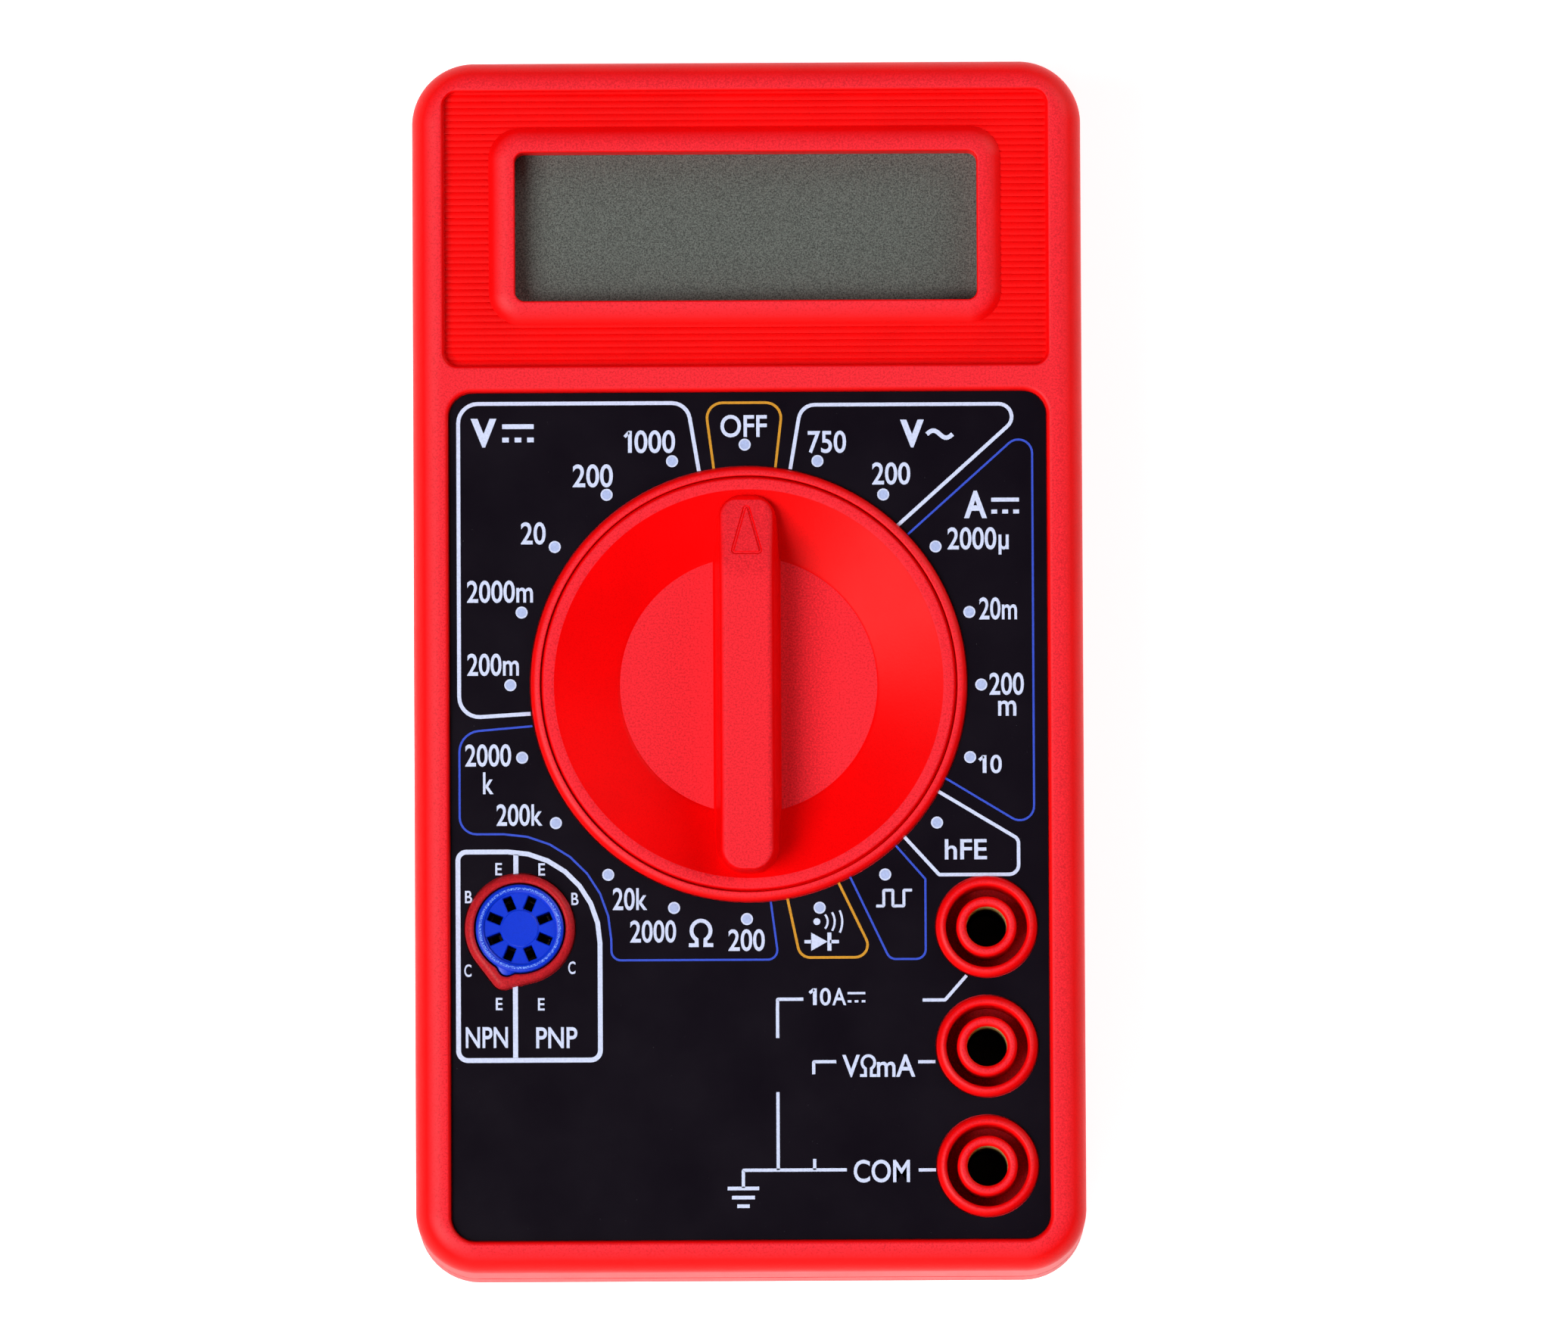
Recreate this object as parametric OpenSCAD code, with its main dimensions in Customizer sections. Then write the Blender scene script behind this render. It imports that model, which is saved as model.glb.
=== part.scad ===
// Pocket digital multimeter: two-part moulded case, rotary range switch, LCD, input jacks,
// transistor socket and the electronics that they need. It lies on its back, display end towards +Y.

/* [Case] */
// Width across the front
case_w = 70; // [69.5:0.5:72]
// Length from the input end to the display end
case_l = 126.8; // [126:0.4:129.2]
// Thickness of the closed case, without the knob's bar
case_h = 24; // [24:0.25:25]
// Height of the parting line above the back face
split_h = 10; // [9.5:0.25:10.5]
// Wall thickness of both shells
wall = 2; // [1.8:0.1:2.2]
// Radius of the four corners seen from the front
corner_r = 6.5; // [6:0.25:7.5]
// Radius that rounds the border's outer edge
edge_r = 3; // [2.5:0.1:3.2]
// Depth of the label and grip recesses below the border
recess = 1.2; // [1:0.1:1.4]

/* [Display] */
// Width of the display window
window_w = 48; // [46:0.5:49]
// Height of the display window
window_h = 15.2; // [14:0.2:16]
// Width of the raised frame around the window
bezel = 2.4; // [2:0.1:2.6]
// Pitch of the fine grip ribs
rib_pitch = 0.68; // [0.6:0.02:0.9]

/* [Rotary switch] */
// Radius of the knob's rim
knob_r = 21.6; // [21.2:0.1:21.7]
// Radius of the flat floor of the knob's dish
dish_r = 13.4; // [12:0.2:14.5]
// Number of switch positions round the turn
positions = 20; // [20]
// Height of the bar's top above the border
bar_rise = 3.6; // [2.5:0.1:4.5]
// Width of the bar at its foot
bar_w = 6.8; // [5.8:0.2:7.4]
// Radius of the detent balls
ball_r = 1.4; // [1.2:0.1:1.4]
// Outward travel of a detent ball into its notch
ball_travel = 0.45; // [0.3:0.05:0.5]

/* [Sockets] */
// Spacing of the three input jacks
jack_pitch = 12.5; // [12.3:0.1:12.7]
// Bore radius of an input jack, for a 4 mm plug
jack_bore_r = 2.1; // [2.05:0.05:2.15]
// Length of the jack's brass tube
jack_len = 16.5; // [14:0.5:17]
// Radius of the transistor socket
hfe_r = 4.5; // [4.3:0.1:4.6]

/* [Battery] */
// Length of the battery's can
battery_l = 46.4; // [46:0.1:46.6]
// Width of the battery
battery_w = 26.4; // [26:0.1:26.6]
// Thickness of the battery
battery_h = 17.4; // [17:0.1:17.5]

/* [Hidden] */
$fn = 96;

// Case levels, all measured from the back face
case_red = "#dc1a1a";
inner_r = corner_r - wall;
plate_top = case_h - recess;
plate_t = 2;
plate_low = plate_top - plate_t;
fit_gap = 0.1;
lip_t = 1;
lip_h = 1.4;
seam = 0.4;

// Front face layout
border_side = 3.7;
border_end = 3.2;
field_w = case_w - 2 * border_side;
label_top = 28.7;
label_low = -case_l / 2 + border_end;
label_h = label_top - label_low;
label_y = (label_top + label_low) / 2;
label_corner = 2.6;
label_t = 0.3;
grip_low = 31.4;
grip_top = case_l / 2 - border_end;
grip_h = grip_top - grip_low;
grip_y = (grip_top + grip_low) / 2;
grip_corner = 1.7;
rib_count = floor(grip_h / rib_pitch);
window_y = 45.8;
window_corner = 1;

// Rotary switch layout
knob_pos = [0, -2];
step_angle = 360 / positions;
hole_r = knob_r + 0.2;
collar_r = hole_r + 1;
flange_r = knob_r + 1.5;
flange_top = plate_low - 0.3;
knob_low = flange_top - 4.2;
ball_z = (flange_top + knob_low) / 2;
crest_r = flange_r + 0.5;
ball_seat_r = crest_r - 0.2 - ball_r;
notch_r = ball_r + 0.2;
notch_ring_t = 1.8;
dish_floor = case_h - 2.4;
bar_top = case_h + bar_rise;
bar_half = 19.9;
bar_height = bar_top - dish_floor + 0.5;
bar_slope = 23;
bar_slope_start = 11.8;
bar_taper = 0.7;
bar_corner = 2.9;
hub_pin_r = 3;

// Circuit board
board_top = 14.8;
board_t = 1.6;
board_low = board_top - board_t;
board_half_w = case_w / 2 - wall - 0.8;
board_end_y = case_l / 2 - wall - 0.8;
board_step_y = -32.8;
board_arm_x = 20;

// Fasteners: position of each on the front face's axes
case_screw_pos = [[-28.6, -14], [28.6, -14]];
case_boss_r = 2.9;
case_screw_r = 1.25;
board_screw_pos = [[-30.3, 28.5], [30.3, 28.5], [-30.3, 3], [30.8, -33.7]];
board_boss_r = 2.1;
board_screw_r = 0.9;

// Sockets
jack_x = 24.7;
jack_y = [for (i = [0:2]) -27.5 - i * jack_pitch];
jack_ring_r = 5.3;
jack_groove_r = 4.25;
jack_sleeve_r = 3.15;
jack_wall = 0.45;
jack_top = plate_top - 0.2;
hfe_pos = [-24, -27.5];
hfe_ring_r = 5.75;
hfe_slot = [0.95, 1.5];
hfe_slot_r = 2.7;
hfe_key_angle = -109;
hfe_pins = 8;

// Display module
lcd_w = 54;
lcd_h = 25;
lcd_top = plate_low - 0.2;
film_t = 0.2;
glass_t = 1.1;
lcd_y = window_y;
glass_low = lcd_top - film_t - 2 * glass_t;
holder_w = lcd_w + 4.6;
holder_h = lcd_h + 2.4;
zebra_y = lcd_y - lcd_h / 2 + 1.6;

// Battery, lying across the case below the circuit board's step
battery_x = -31.6;
battery_y = -46.4;
battery_z = 2.5;
stud_gap = 12.7;
stud_h = 2.8;
stud_x = battery_x + battery_l;
battery_mid_z = battery_z + battery_h / 2;
snap_t = 4.2;

// Fuse and buzzer
fuse_pos = [14, -19.5, 9.2];
fuse_l = 20;
fuse_r = 2.5;
buzzer_pos = [-14, 22];
buzzer_r = 10;
trimmer_pos = [-22, 8];

// Hand-laid routes of the four inner leads
lead_r = 0.6;
thin_lead_r = 0.4;
positive_route = [
    [18.6, -52.7, 9], [19.3, -52.7, 9], [19.9, -52.7, 9], [20.7, -52.2, 8.4], [21, -50.8, 7],
    [20.8, -48, 5.4], [20.6, -42, 5], [20.4, -35, 5.2], [18.5, -31.5, 7.5], [17.5, -30.8, 10.5],
    [17.5, -30.8, 13.2]
];
negative_route = [
    [18.6, -40, 9], [19.3, -40, 9], [19.9, -40, 9], [20.7, -39.4, 9], [21, -38, 9.1],
    [21, -34, 9.5], [20.6, -31.6, 10.6], [20.2, -31, 12], [20.2, -30.9, 13.2]
];
buzzer_rim_route = [[-6, 22, 2.8], [-5, 22.4, 3.6], [-3.5, 23, 5], [-3, 23.5, 9], [-3, 24, 13.2]];
buzzer_core_route = [[-12, 22, 3.2], [-10, 23.5, 4.4], [-7, 26, 5.4], [-5.6, 27, 9], [-5.6, 27.4, 13.2]];

// ---- Shared shapes ----

module rounded_rect(w, l, r) {
    square([w - 2 * r, l], center = true);
    square([w, l - 2 * r], center = true);
    for (sx = [-1, 1], sy = [-1, 1])
        translate([sx * (w / 2 - r), sy * (l / 2 - r)]) circle(r);
}

// Sweeps a 2D profile round a rounded rectangle: profile x is 0 on the outline and negative inside
module rim_sweep(w, l, r) {
    for (turn = [0:3]) {
        along_x = turn % 2 == 1;
        reach = (along_x ? l : w) / 2;
        run = (along_x ? w : l) - 2 * r;
        rotate(90 * turn) {
            rotate([90, 0, 0]) linear_extrude(run, center = true) translate([reach, 0]) children();
            translate([reach - r, run / 2]) rotate_extrude(angle = 90) translate([r, 0]) children();
        }
    }
}

// A square corner less its quarter circle, for rounding an upper outer edge of radius r
module edge_cut(r, z) {
    difference() {
        translate([-r, z - r]) square(r + 1);
        translate([-r, z - r]) circle(r);
    }
}

function unit(v) = v / norm(v);
function spline(a, b, c, d, t) =
    0.5 * (2 * b + (c - a) * t + (2 * a - 5 * b + 4 * c - d) * t * t + (3 * b - a - 3 * c + d) * t * t * t);
function smooth_route(p, steps) = [
    for (i = [0:len(p) - 2], k = [0:steps - 1])
        spline(p[max(i - 1, 0)], p[i], p[i + 1], p[min(i + 2, len(p) - 1)], k / steps),
    p[len(p) - 1]
];
function tangent(p, i) = unit(p[min(i + 1, len(p) - 1)] - p[max(i - 1, 0)]);
function square_to(n, t) = unit(n - (n * t) * t);

// A tube along a path: each ring's normal is carried on from the ring before it
module tube(path, r, sides = 8, start_normal = [0.3, 0.9, 0.2]) {
    last = len(path) - 1;
    normals = [
        for (i = 0, n = square_to(start_normal, tangent(path, 0)); i <= last;
            i = i + 1, n = square_to(n, tangent(path, min(i, last)))) n
    ];
    points = [
        for (i = [0:last], k = [0:sides - 1])
            path[i] + r * (normals[i] * cos(360 * k / sides)
                + cross(tangent(path, i), normals[i]) * sin(360 * k / sides))
    ];
    side_faces = [
        for (i = [0:last - 1], k = [0:sides - 1])
            [i * sides + k, (i + 1) * sides + k,
                (i + 1) * sides + (k + 1) % sides, i * sides + (k + 1) % sides]
    ];
    start_cap = [[for (k = [0:sides - 1]) k]];
    end_cap = [[for (k = [sides - 1:-1:0]) last * sides + k]];
    polyhedron(points, concat(side_faces, start_cap, end_cap));
}

module at_each(spots) {
    for (spot = spots) translate(spot) children();
}

module pointer_outline(apex_y, base_y, half_w) {
    polygon([[0, apex_y], [half_w, base_y], [-half_w, base_y]]);
}

// ---- Case ----

module front_face_rings() {
    // Collar round the knob, chamfered outside
    translate(knob_pos) rotate_extrude() polygon([
        [hole_r - 1, plate_low + 0.5], [collar_r, plate_low + 0.5], [collar_r, case_h - 0.5],
        [collar_r - 0.5, case_h], [hole_r - 1, case_h]
    ]);
    // Notched detent ring under the front plate
    translate(concat(knob_pos, knob_low)) linear_extrude(plate_low - knob_low + 0.3) difference() {
        circle(crest_r + notch_ring_t);
        circle(crest_r);
        for (i = [0:positions - 1]) rotate(i * step_angle)
            translate([crest_r + ball_travel - notch_r, 0]) circle(notch_r);
    }
    // Transistor socket ring with its keyed corner
    translate(concat(hfe_pos, plate_low)) linear_extrude(case_h - plate_low) hull() {
        circle(hfe_ring_r);
        rotate(hfe_key_angle) translate([hfe_ring_r - 0.4, 0]) circle(1.3);
    }
    // Jack shrouds: outer ring and inner sleeve
    for (y = jack_y) translate([jack_x, y, 0]) {
        translate([0, 0, plate_low]) cylinder(r = jack_ring_r, h = case_h - plate_low - 0.4);
        translate([0, 0, plate_low]) cylinder(r = jack_ring_r - 0.4, h = case_h - plate_low);
        translate([0, 0, board_top + 0.2]) cylinder(r = jack_ring_r - 0.6, h = plate_low - board_top);
    }
}

module front_bosses() {
    at_each([for (p = case_screw_pos) concat(p, split_h)])
        cylinder(r = case_boss_r, h = plate_low - split_h + 0.5);
    at_each([for (p = board_screw_pos) concat(p, board_top)])
        cylinder(r = board_boss_r, h = plate_low - board_top + 0.5);
}

module jack_cavity() {
    // Ring-shaped groove for a shrouded plug, then the sleeve's lip and the tube's seat
    translate([0, 0, plate_low - 4]) difference() {
        cylinder(r = jack_groove_r, h = 10);
        translate([0, 0, -1]) cylinder(r = jack_sleeve_r, h = case_h - plate_low + 4.6);
    }
    cylinder(r = jack_bore_r + jack_wall + 0.05, h = jack_top);
    cylinder(r = jack_bore_r, h = case_h + 1);
}

module front_case() {
    color(case_red) difference() {
        union() {
            difference() {
                translate([0, 0, split_h]) linear_extrude(case_h - split_h)
                    rounded_rect(case_w, case_l, corner_r);
                rim_sweep(case_w, case_l, corner_r) edge_cut(edge_r, case_h);
                translate([0, 0, split_h - 1]) linear_extrude(plate_low - split_h + 1)
                    rounded_rect(case_w - 2 * wall, case_l - 2 * wall, inner_r);
                translate([0, label_y, plate_top]) linear_extrude(recess + 1)
                    rounded_rect(field_w, label_h, label_corner);
                translate([0, grip_y, plate_top]) linear_extrude(recess + 1)
                    rounded_rect(field_w, grip_h, grip_corner);
            }
            grip_ribs();
            // Raised frame that curves up to the display window
            translate([0, window_y, 0])
                rim_sweep(window_w + 2 * bezel, window_h + 2 * bezel, bezel + window_corner)
                    intersection() {
                        translate([-bezel, plate_low]) square([bezel, case_h - plate_low]);
                        translate([-bezel, case_h - 3.2]) circle(3.2);
                    }
            front_face_rings();
            front_bosses();
        }
        translate([0, window_y, plate_low - 1]) linear_extrude(case_h)
            rounded_rect(window_w, window_h, window_corner);
        translate(concat(knob_pos, plate_low - 1)) cylinder(r = hole_r, h = case_h);
        translate(concat(hfe_pos, plate_low - 1)) linear_extrude(case_h) hfe_outline(0.15);
        for (y = jack_y) translate([jack_x, y, 0]) jack_cavity();
        at_each([for (p = case_screw_pos) concat(p, split_h - 1)])
            cylinder(r = case_screw_r + 0.05, h = 9);
        at_each([for (p = board_screw_pos) concat(p, board_top - 1)])
            cylinder(r = board_screw_r + 0.05, h = 6);
        // Grooves that the rear cover's hooks snap into
        for (sx = [-1, 1]) translate([sx * 18 - 4.5, case_l / 2 - wall - 1, split_h + 1.2])
            cube([9, 1.6, 1.4]);
    }
}

// Comb of half-round ribs, all one extrusion, kept inside the grip recess
module grip_ribs() {
    intersection() {
        translate([0, grip_low + rib_pitch / 2, plate_top]) rotate([90, 0, 90])
            linear_extrude(field_w + 2, center = true)
                for (i = [0:rib_count - 1])
                    translate([i * rib_pitch, 0]) circle(rib_pitch / 2 - 0.01, $fn = 24);
        translate([0, grip_y, plate_top - 0.4]) linear_extrude(recess)
            rounded_rect(field_w, grip_h, grip_corner);
    }
}

// Band inside the walls: its outer edge stands in from the cavity by inset
module cavity_ring(inset) {
    difference() {
        rounded_rect(case_w - 2 * (wall + inset), case_l - 2 * (wall + inset), inner_r - inset);
        rounded_rect(case_w - 2 * (wall + lip_t), case_l - 2 * (wall + lip_t), inner_r - lip_t);
    }
}

module rear_cover() {
    color("#c81616") difference() {
        union() {
            difference() {
                union() {
                    linear_extrude(split_h - seam) rounded_rect(case_w, case_l, corner_r);
                    translate([0, 0, 3]) linear_extrude(split_h - 3)
                        rounded_rect(case_w - 2 * seam, case_l - 2 * seam, corner_r - seam);
                }
                mirror([0, 0, 1]) rim_sweep(case_w, case_l, corner_r) edge_cut(2, 0);
                translate([0, 0, wall]) linear_extrude(split_h)
                    rounded_rect(case_w - 2 * wall, case_l - 2 * wall, inner_r);
            }
            // Lip that centres the front shell, rooted on a thicker band of wall
            translate([0, 0, split_h - 3]) linear_extrude(3) cavity_ring(-0.5);
            translate([0, 0, split_h - 0.5]) linear_extrude(lip_h + 0.5) cavity_ring(fit_gap);
            at_each([for (p = case_screw_pos) concat(p, 1)])
                cylinder(r = case_boss_r + 1.4, h = split_h - 1.05);
            // Snap hooks at the display end
            for (sx = [-1, 1]) translate([sx * 18 - 4, case_l / 2 - wall - fit_gap - 1, split_h - 1]) {
                cube([8, 1, 3.5]);
                translate([0, 0, 2.4]) cube([8, 1.5, 1]);
            }
            // Battery cradle rib and the buzzer's locating ring
            translate([battery_x, battery_y + battery_w / 2 + 0.2, 1]) cube([battery_l, 1.2, 6]);
            translate(concat(buzzer_pos, 1)) difference() {
                cylinder(r = buzzer_r + 1.4, h = 2.2);
                cylinder(r = buzzer_r + 0.15, h = 3);
            }
        }
        at_each([for (p = case_screw_pos) concat(p, -1)]) {
            cylinder(r = 2.9, h = 6);
            cylinder(r = case_screw_r + 0.3, h = split_h + 2);
        }
        // Relief for the battery's corner
        translate([battery_x - 0.1, battery_y - battery_w / 2 - 0.1, battery_z])
            cube([battery_l, battery_w, split_h]);
    }
}

module front_label() {
    color("#17141c") translate([0, 0, plate_top]) linear_extrude(label_t) difference() {
        translate([0, label_y]) rounded_rect(field_w - 0.2, label_h - 0.2, label_corner - 0.1);
        translate(knob_pos) circle(collar_r + 0.1);
        translate(hfe_pos) hull() {
            circle(hfe_ring_r + 0.1);
            rotate(hfe_key_angle) translate([hfe_ring_r - 0.4, 0]) circle(1.4);
        }
        for (y = jack_y) translate([jack_x, y]) circle(jack_ring_r + 0.1);
    }
}

// Pan-head tapping screw, head down, with a cross recess
module tapping_screw(shank_r, shank_l, head_r, head_h) {
    difference() {
        union() {
            cylinder(r = head_r, h = head_h);
            cylinder(r = shank_r, h = head_h + shank_l);
            translate([0, 0, head_h + shank_l]) cylinder(r1 = shank_r, r2 = 0.2, h = shank_r);
        }
        for (turn = [0, 90]) rotate(turn)
            translate([-head_r * 0.55, -0.25, -1]) cube([head_r * 1.1, 0.5, 1 + head_h * 0.6]);
    }
}

module case_screws() {
    color("silver") at_each([for (p = case_screw_pos) concat(p, 3.2)])
        tapping_screw(case_screw_r, 10.5, 2.5, 1.8);
}

// ---- Rotary switch ----

module knob_turned_body() {
    rotate_extrude() polygon([
        [0, dish_floor], [dish_r, dish_floor], [knob_r - 1.1, case_h], [knob_r - 0.4, case_h],
        [knob_r, case_h - 0.4], [knob_r, flange_top], [flange_r, flange_top], [flange_r, knob_low],
        [flange_r - 3.6, knob_low], [flange_r - 3.6, flange_top - 0.2], [dish_r, dish_floor - 1.6],
        [5, dish_floor - 1.6], [5, knob_low], [0, knob_low]
    ]);
}

module knob_bar() {
    difference() {
        hull() for (sx = [-1, 1], sy = [-1, 1])
            translate([sx * (bar_w / 2 - bar_corner), sy * (bar_half - bar_corner), dish_floor - 0.5])
                cylinder(r1 = bar_corner, r2 = bar_corner - bar_taper, h = bar_height, $fn = 48);
        // The bar's top slopes away at the pointer end
        translate([-bar_w, bar_slope_start, bar_top]) rotate([-bar_slope, 0, 0])
            cube([2 * bar_w, 14, 6]);
        // Engraved pointer outline
        translate([0, bar_slope_start, bar_top]) rotate([-bar_slope, 0, 0])
            translate([0, -bar_slope_start, -0.25]) linear_extrude(1) difference() {
                pointer_outline(18.6, 13.2, 1.7);
                pointer_outline(17.5, 13.55, 1.2);
            }
    }
}

module rotary_knob() {
    color(case_red) translate(knob_pos) difference() {
        union() {
            knob_turned_body();
            knob_bar();
            translate([0, 0, board_low - 0.8]) cylinder(r = hub_pin_r, h = knob_low - board_low + 1.8);
            // Blocks that hold the detent springs, and the arms that carry the slider contacts
            translate([-flange_r + 1.8, -3, knob_low])
                cube([2 * flange_r - 3.6, 6, ball_z + ball_r + 0.7 - knob_low]);
            translate([-5.5, -flange_r + 3, knob_low])
                cube([11, 2 * flange_r - 6, dish_floor - 1.4 - knob_low]);
        }
        for (turn = [0, 180]) rotate(turn) translate([12, 0, ball_z]) rotate([0, 90, 0])
            cylinder(r = ball_r + 0.05, h = flange_r);
    }
}

// Bent leaf that bridges two tracks: six alike, three on each arm
module slider_contacts() {
    contact_w = 1.6;
    foot = board_top + 0.12;
    color("gold") translate(knob_pos)
        for (side = [0, 180], lane = [0:2]) rotate(side) translate([-3.4 + 3.4 * lane, 9 + 1.6 * lane, 0])
            rotate([90, 0, 90]) linear_extrude(contact_w, center = true) polygon([
                [-3.4, knob_low], [-3, knob_low], [0, foot + 0.22], [3, knob_low], [3.4, knob_low],
                [0.2, foot], [-0.2, foot]
            ]);
}

module detent_springs() {
    wire_r = 0.2;
    coil_r = ball_r - 0.35;
    turns = 7;
    spring_start = 12.3;
    spring_end = ball_seat_r - ball_r - 0.1;
    steps = 14;
    helix = [
        for (i = [0:turns * steps]) [
            spring_start + (spring_end - spring_start) * i / (turns * steps),
            coil_r * cos(360 * i / steps),
            ball_z + coil_r * sin(360 * i / steps)
        ]
    ];
    color("silver") translate(knob_pos) for (turn = [0, 180]) rotate(turn)
        tube(helix, wire_r, sides = 6, start_normal = [0.9, 0.1, 0.3]);
}

module detent_ball(turn) {
    color("lightgray") translate(knob_pos) rotate(turn) translate([ball_seat_r, 0, ball_z])
        sphere(ball_r, $fn = 48);
}

module detent_ball_right() { detent_ball(0); }

module detent_ball_left() { detent_ball(180); }

// ---- Display ----

module lcd_glass() {
    color("#8a938a") {
        translate([-lcd_w / 2, lcd_y - lcd_h / 2, glass_low]) cube([lcd_w, lcd_h, glass_t]);
        translate([-lcd_w / 2, lcd_y - lcd_h / 2 + 3, glass_low + glass_t]) cube([lcd_w, lcd_h - 3, glass_t]);
    }
}

module lcd_polarizer() {
    color("#606560") translate([0, lcd_y + 1.5, lcd_top - film_t]) linear_extrude(film_t)
        square([lcd_w - 2, lcd_h - 5], center = true);
}

module lcd_holder() {
    color("#2a2a2c") translate([0, lcd_y, board_top]) difference() {
        linear_extrude(lcd_top - board_top) rounded_rect(holder_w, holder_h, 1);
        translate([0, 0, glass_low - board_top]) linear_extrude(10)
            square([lcd_w + 0.3, lcd_h + 0.3], center = true);
        translate([0, 0, -1]) linear_extrude(1.8 + 1) square([lcd_w - 3, lcd_h - 3], center = true);
        translate([0, zebra_y - lcd_y, -1]) linear_extrude(10) square([lcd_w - 2, 2.8], center = true);
    }
}

module zebra_strip() {
    color("#d8a8b8") translate([0, zebra_y, board_top]) linear_extrude(glass_low - board_top)
        square([lcd_w - 4, 2.2], center = true);
}

// ---- Circuit board ----

module board_outline() {
    difference() {
        union() {
            translate([-board_half_w, board_step_y])
                square([2 * board_half_w, board_end_y - board_step_y - 3]);
            translate([-board_half_w + 3, board_end_y - 4]) square([2 * board_half_w - 6, 4]);
            for (sx = [-1, 1]) translate([sx * (board_half_w - 3), board_end_y - 3]) circle(3);
            translate([board_arm_x, -board_end_y + 3]) square([board_half_w - board_arm_x, board_end_y]);
            translate([board_arm_x, -board_end_y]) square([board_half_w - board_arm_x - 3, 4]);
            translate([board_half_w - 3, -board_end_y + 3]) circle(3);
        }
        for (p = case_screw_pos) {
            translate(p) circle(case_boss_r + 0.4);
            translate([p[0] > 0 ? p[0] : p[0] - 5, p[1] - case_boss_r - 0.4])
                square([5, 2 * case_boss_r + 0.8]);
        }
    }
}

module circuit_board() {
    color("#1d6b3a") translate([0, 0, board_low]) linear_extrude(board_t) difference() {
        board_outline();
        translate(knob_pos) circle(hub_pin_r + 0.08);
        for (p = board_screw_pos) translate(p) circle(board_screw_r + 0.15);
        for (y = jack_y) translate([jack_x, y]) circle(jack_bore_r + jack_wall + 0.1);
        translate(hfe_pos) for (i = [0:hfe_pins - 1]) rotate(22.5 + 45 * i)
            translate([hfe_slot_r, 0]) circle(0.5, $fn = 24);
    }
}

module board_screws() {
    color("silver") at_each([for (p = board_screw_pos) concat(p, board_low - 1.2)])
        tapping_screw(board_screw_r, 5.6, 1.9, 1.2);
}

module chip_blob() {
    blob_r = 7;
    blob_h = 1.4;
    ball = (blob_r * blob_r + blob_h * blob_h) / (2 * blob_h);
    color("#101010") translate([0, lcd_y, board_top]) intersection() {
        translate([0, 0, blob_h - ball]) sphere(ball, $fn = 360);
        cylinder(r = blob_r + 1, h = blob_h + 1);
    }
}

// Axial part lying under the board, legs turned up to it
module axial_part(body_r, body_l, span, leg_r = 0.3) {
    drop = body_r + 0.3;
    translate([0, 0, board_low - drop]) {
        rotate([0, 90, 0]) cylinder(r = body_r, h = body_l, center = true, $fn = 32);
        rotate([0, 90, 0]) cylinder(r = leg_r, h = span, center = true, $fn = 16);
        for (sx = [-1, 1]) translate([sx * span / 2, 0, 0]) {
            sphere(leg_r, $fn = 16);
            cylinder(r = leg_r, h = drop, $fn = 16);
        }
    }
}

module resistors() {
    color("#b89a6a") {
        for (i = [0:6]) translate([-12 + i * 4, 34, 0]) rotate(90) axial_part(1.15, 6.3, 10);
        for (i = [0:4]) translate([20 + (i % 2) * 0.5, 8 + i * 4, 0]) axial_part(1.15, 6.3, 10);
        for (i = [0:2]) translate([-20, -10 - i * 4, 0]) axial_part(1.15, 6.3, 10);
    }
}

module film_capacitors() {
    color("#b03a2e") for (i = [0:2]) translate([-18 + i * 12, 46, board_low - 7]) {
        translate([-3.6, -1.6, 0]) cube([7.2, 3.2, 6.5]);
        for (sx = [-1, 1]) translate([sx * 2.5, 0, 6.4]) cylinder(r = 0.3, h = 0.6, $fn = 16);
    }
}

module electrolytic_capacitor() {
    color("#20242e") translate([20, 44, board_low - 7.5]) difference() {
        union() {
            cylinder(r = 2.5, h = 7);
            for (sx = [-1, 1]) translate([sx, 0, 6.9]) cylinder(r = 0.25, h = 0.6, $fn = 16);
        }
        translate([0, 0, 5.9]) rotate_extrude() translate([2.75, 0]) circle(0.4, $fn = 24);
    }
}

module diodes() {
    color("#303030") for (i = [0:2]) translate([5 + i * 3.4, 8, 0]) rotate(90) axial_part(0.95, 4.2, 8, 0.25);
}

module transistors() {
    color("#151515") for (i = [0:2]) translate([-8 + 7 * i, 54, board_low - 7]) {
        difference() {
            cylinder(r = 2.35, h = 4.8);
            translate([-3, 1.3, -1]) cube([6, 3, 7]);
        }
        for (leg = [-1.27, 0, 1.27]) translate([leg, 0, 4.7]) cylinder(r = 0.22, h = 2.3, $fn = 16);
    }
}

module thermistor() {
    color("#2f6fb0") translate([28, -6, board_low - 7]) {
        translate([0, 0, 3]) rotate([0, 90, 0]) cylinder(r = 3, h = 1.8, center = true);
        for (sy = [-1, 1]) translate([0, sy * 1.8, 4]) cylinder(r = 0.3, h = 3, $fn = 16);
    }
}

module trimmer_base() {
    color("#2f62c8") translate(concat(trimmer_pos, board_low - 3.6)) difference() {
        translate([-3.3, -3.3, 0]) cube([6.6, 6.6, 3.6]);
        translate([0, 0, -1]) cylinder(r = 2.3, h = 2.6);
        cylinder(r = 1.05, h = 3);
    }
}

module trimmer_rotor() {
    color("ivory") translate(concat(trimmer_pos, board_low - 3.9)) difference() {
        union() {
            cylinder(r = 2.2, h = 1.7);
            cylinder(r = 1, h = 3.1);
        }
        for (turn = [0, 90]) rotate(turn) translate([-1.6, -0.3, -1]) cube([3.2, 0.6, 1.8]);
    }
}

// ---- Sockets ----

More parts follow.
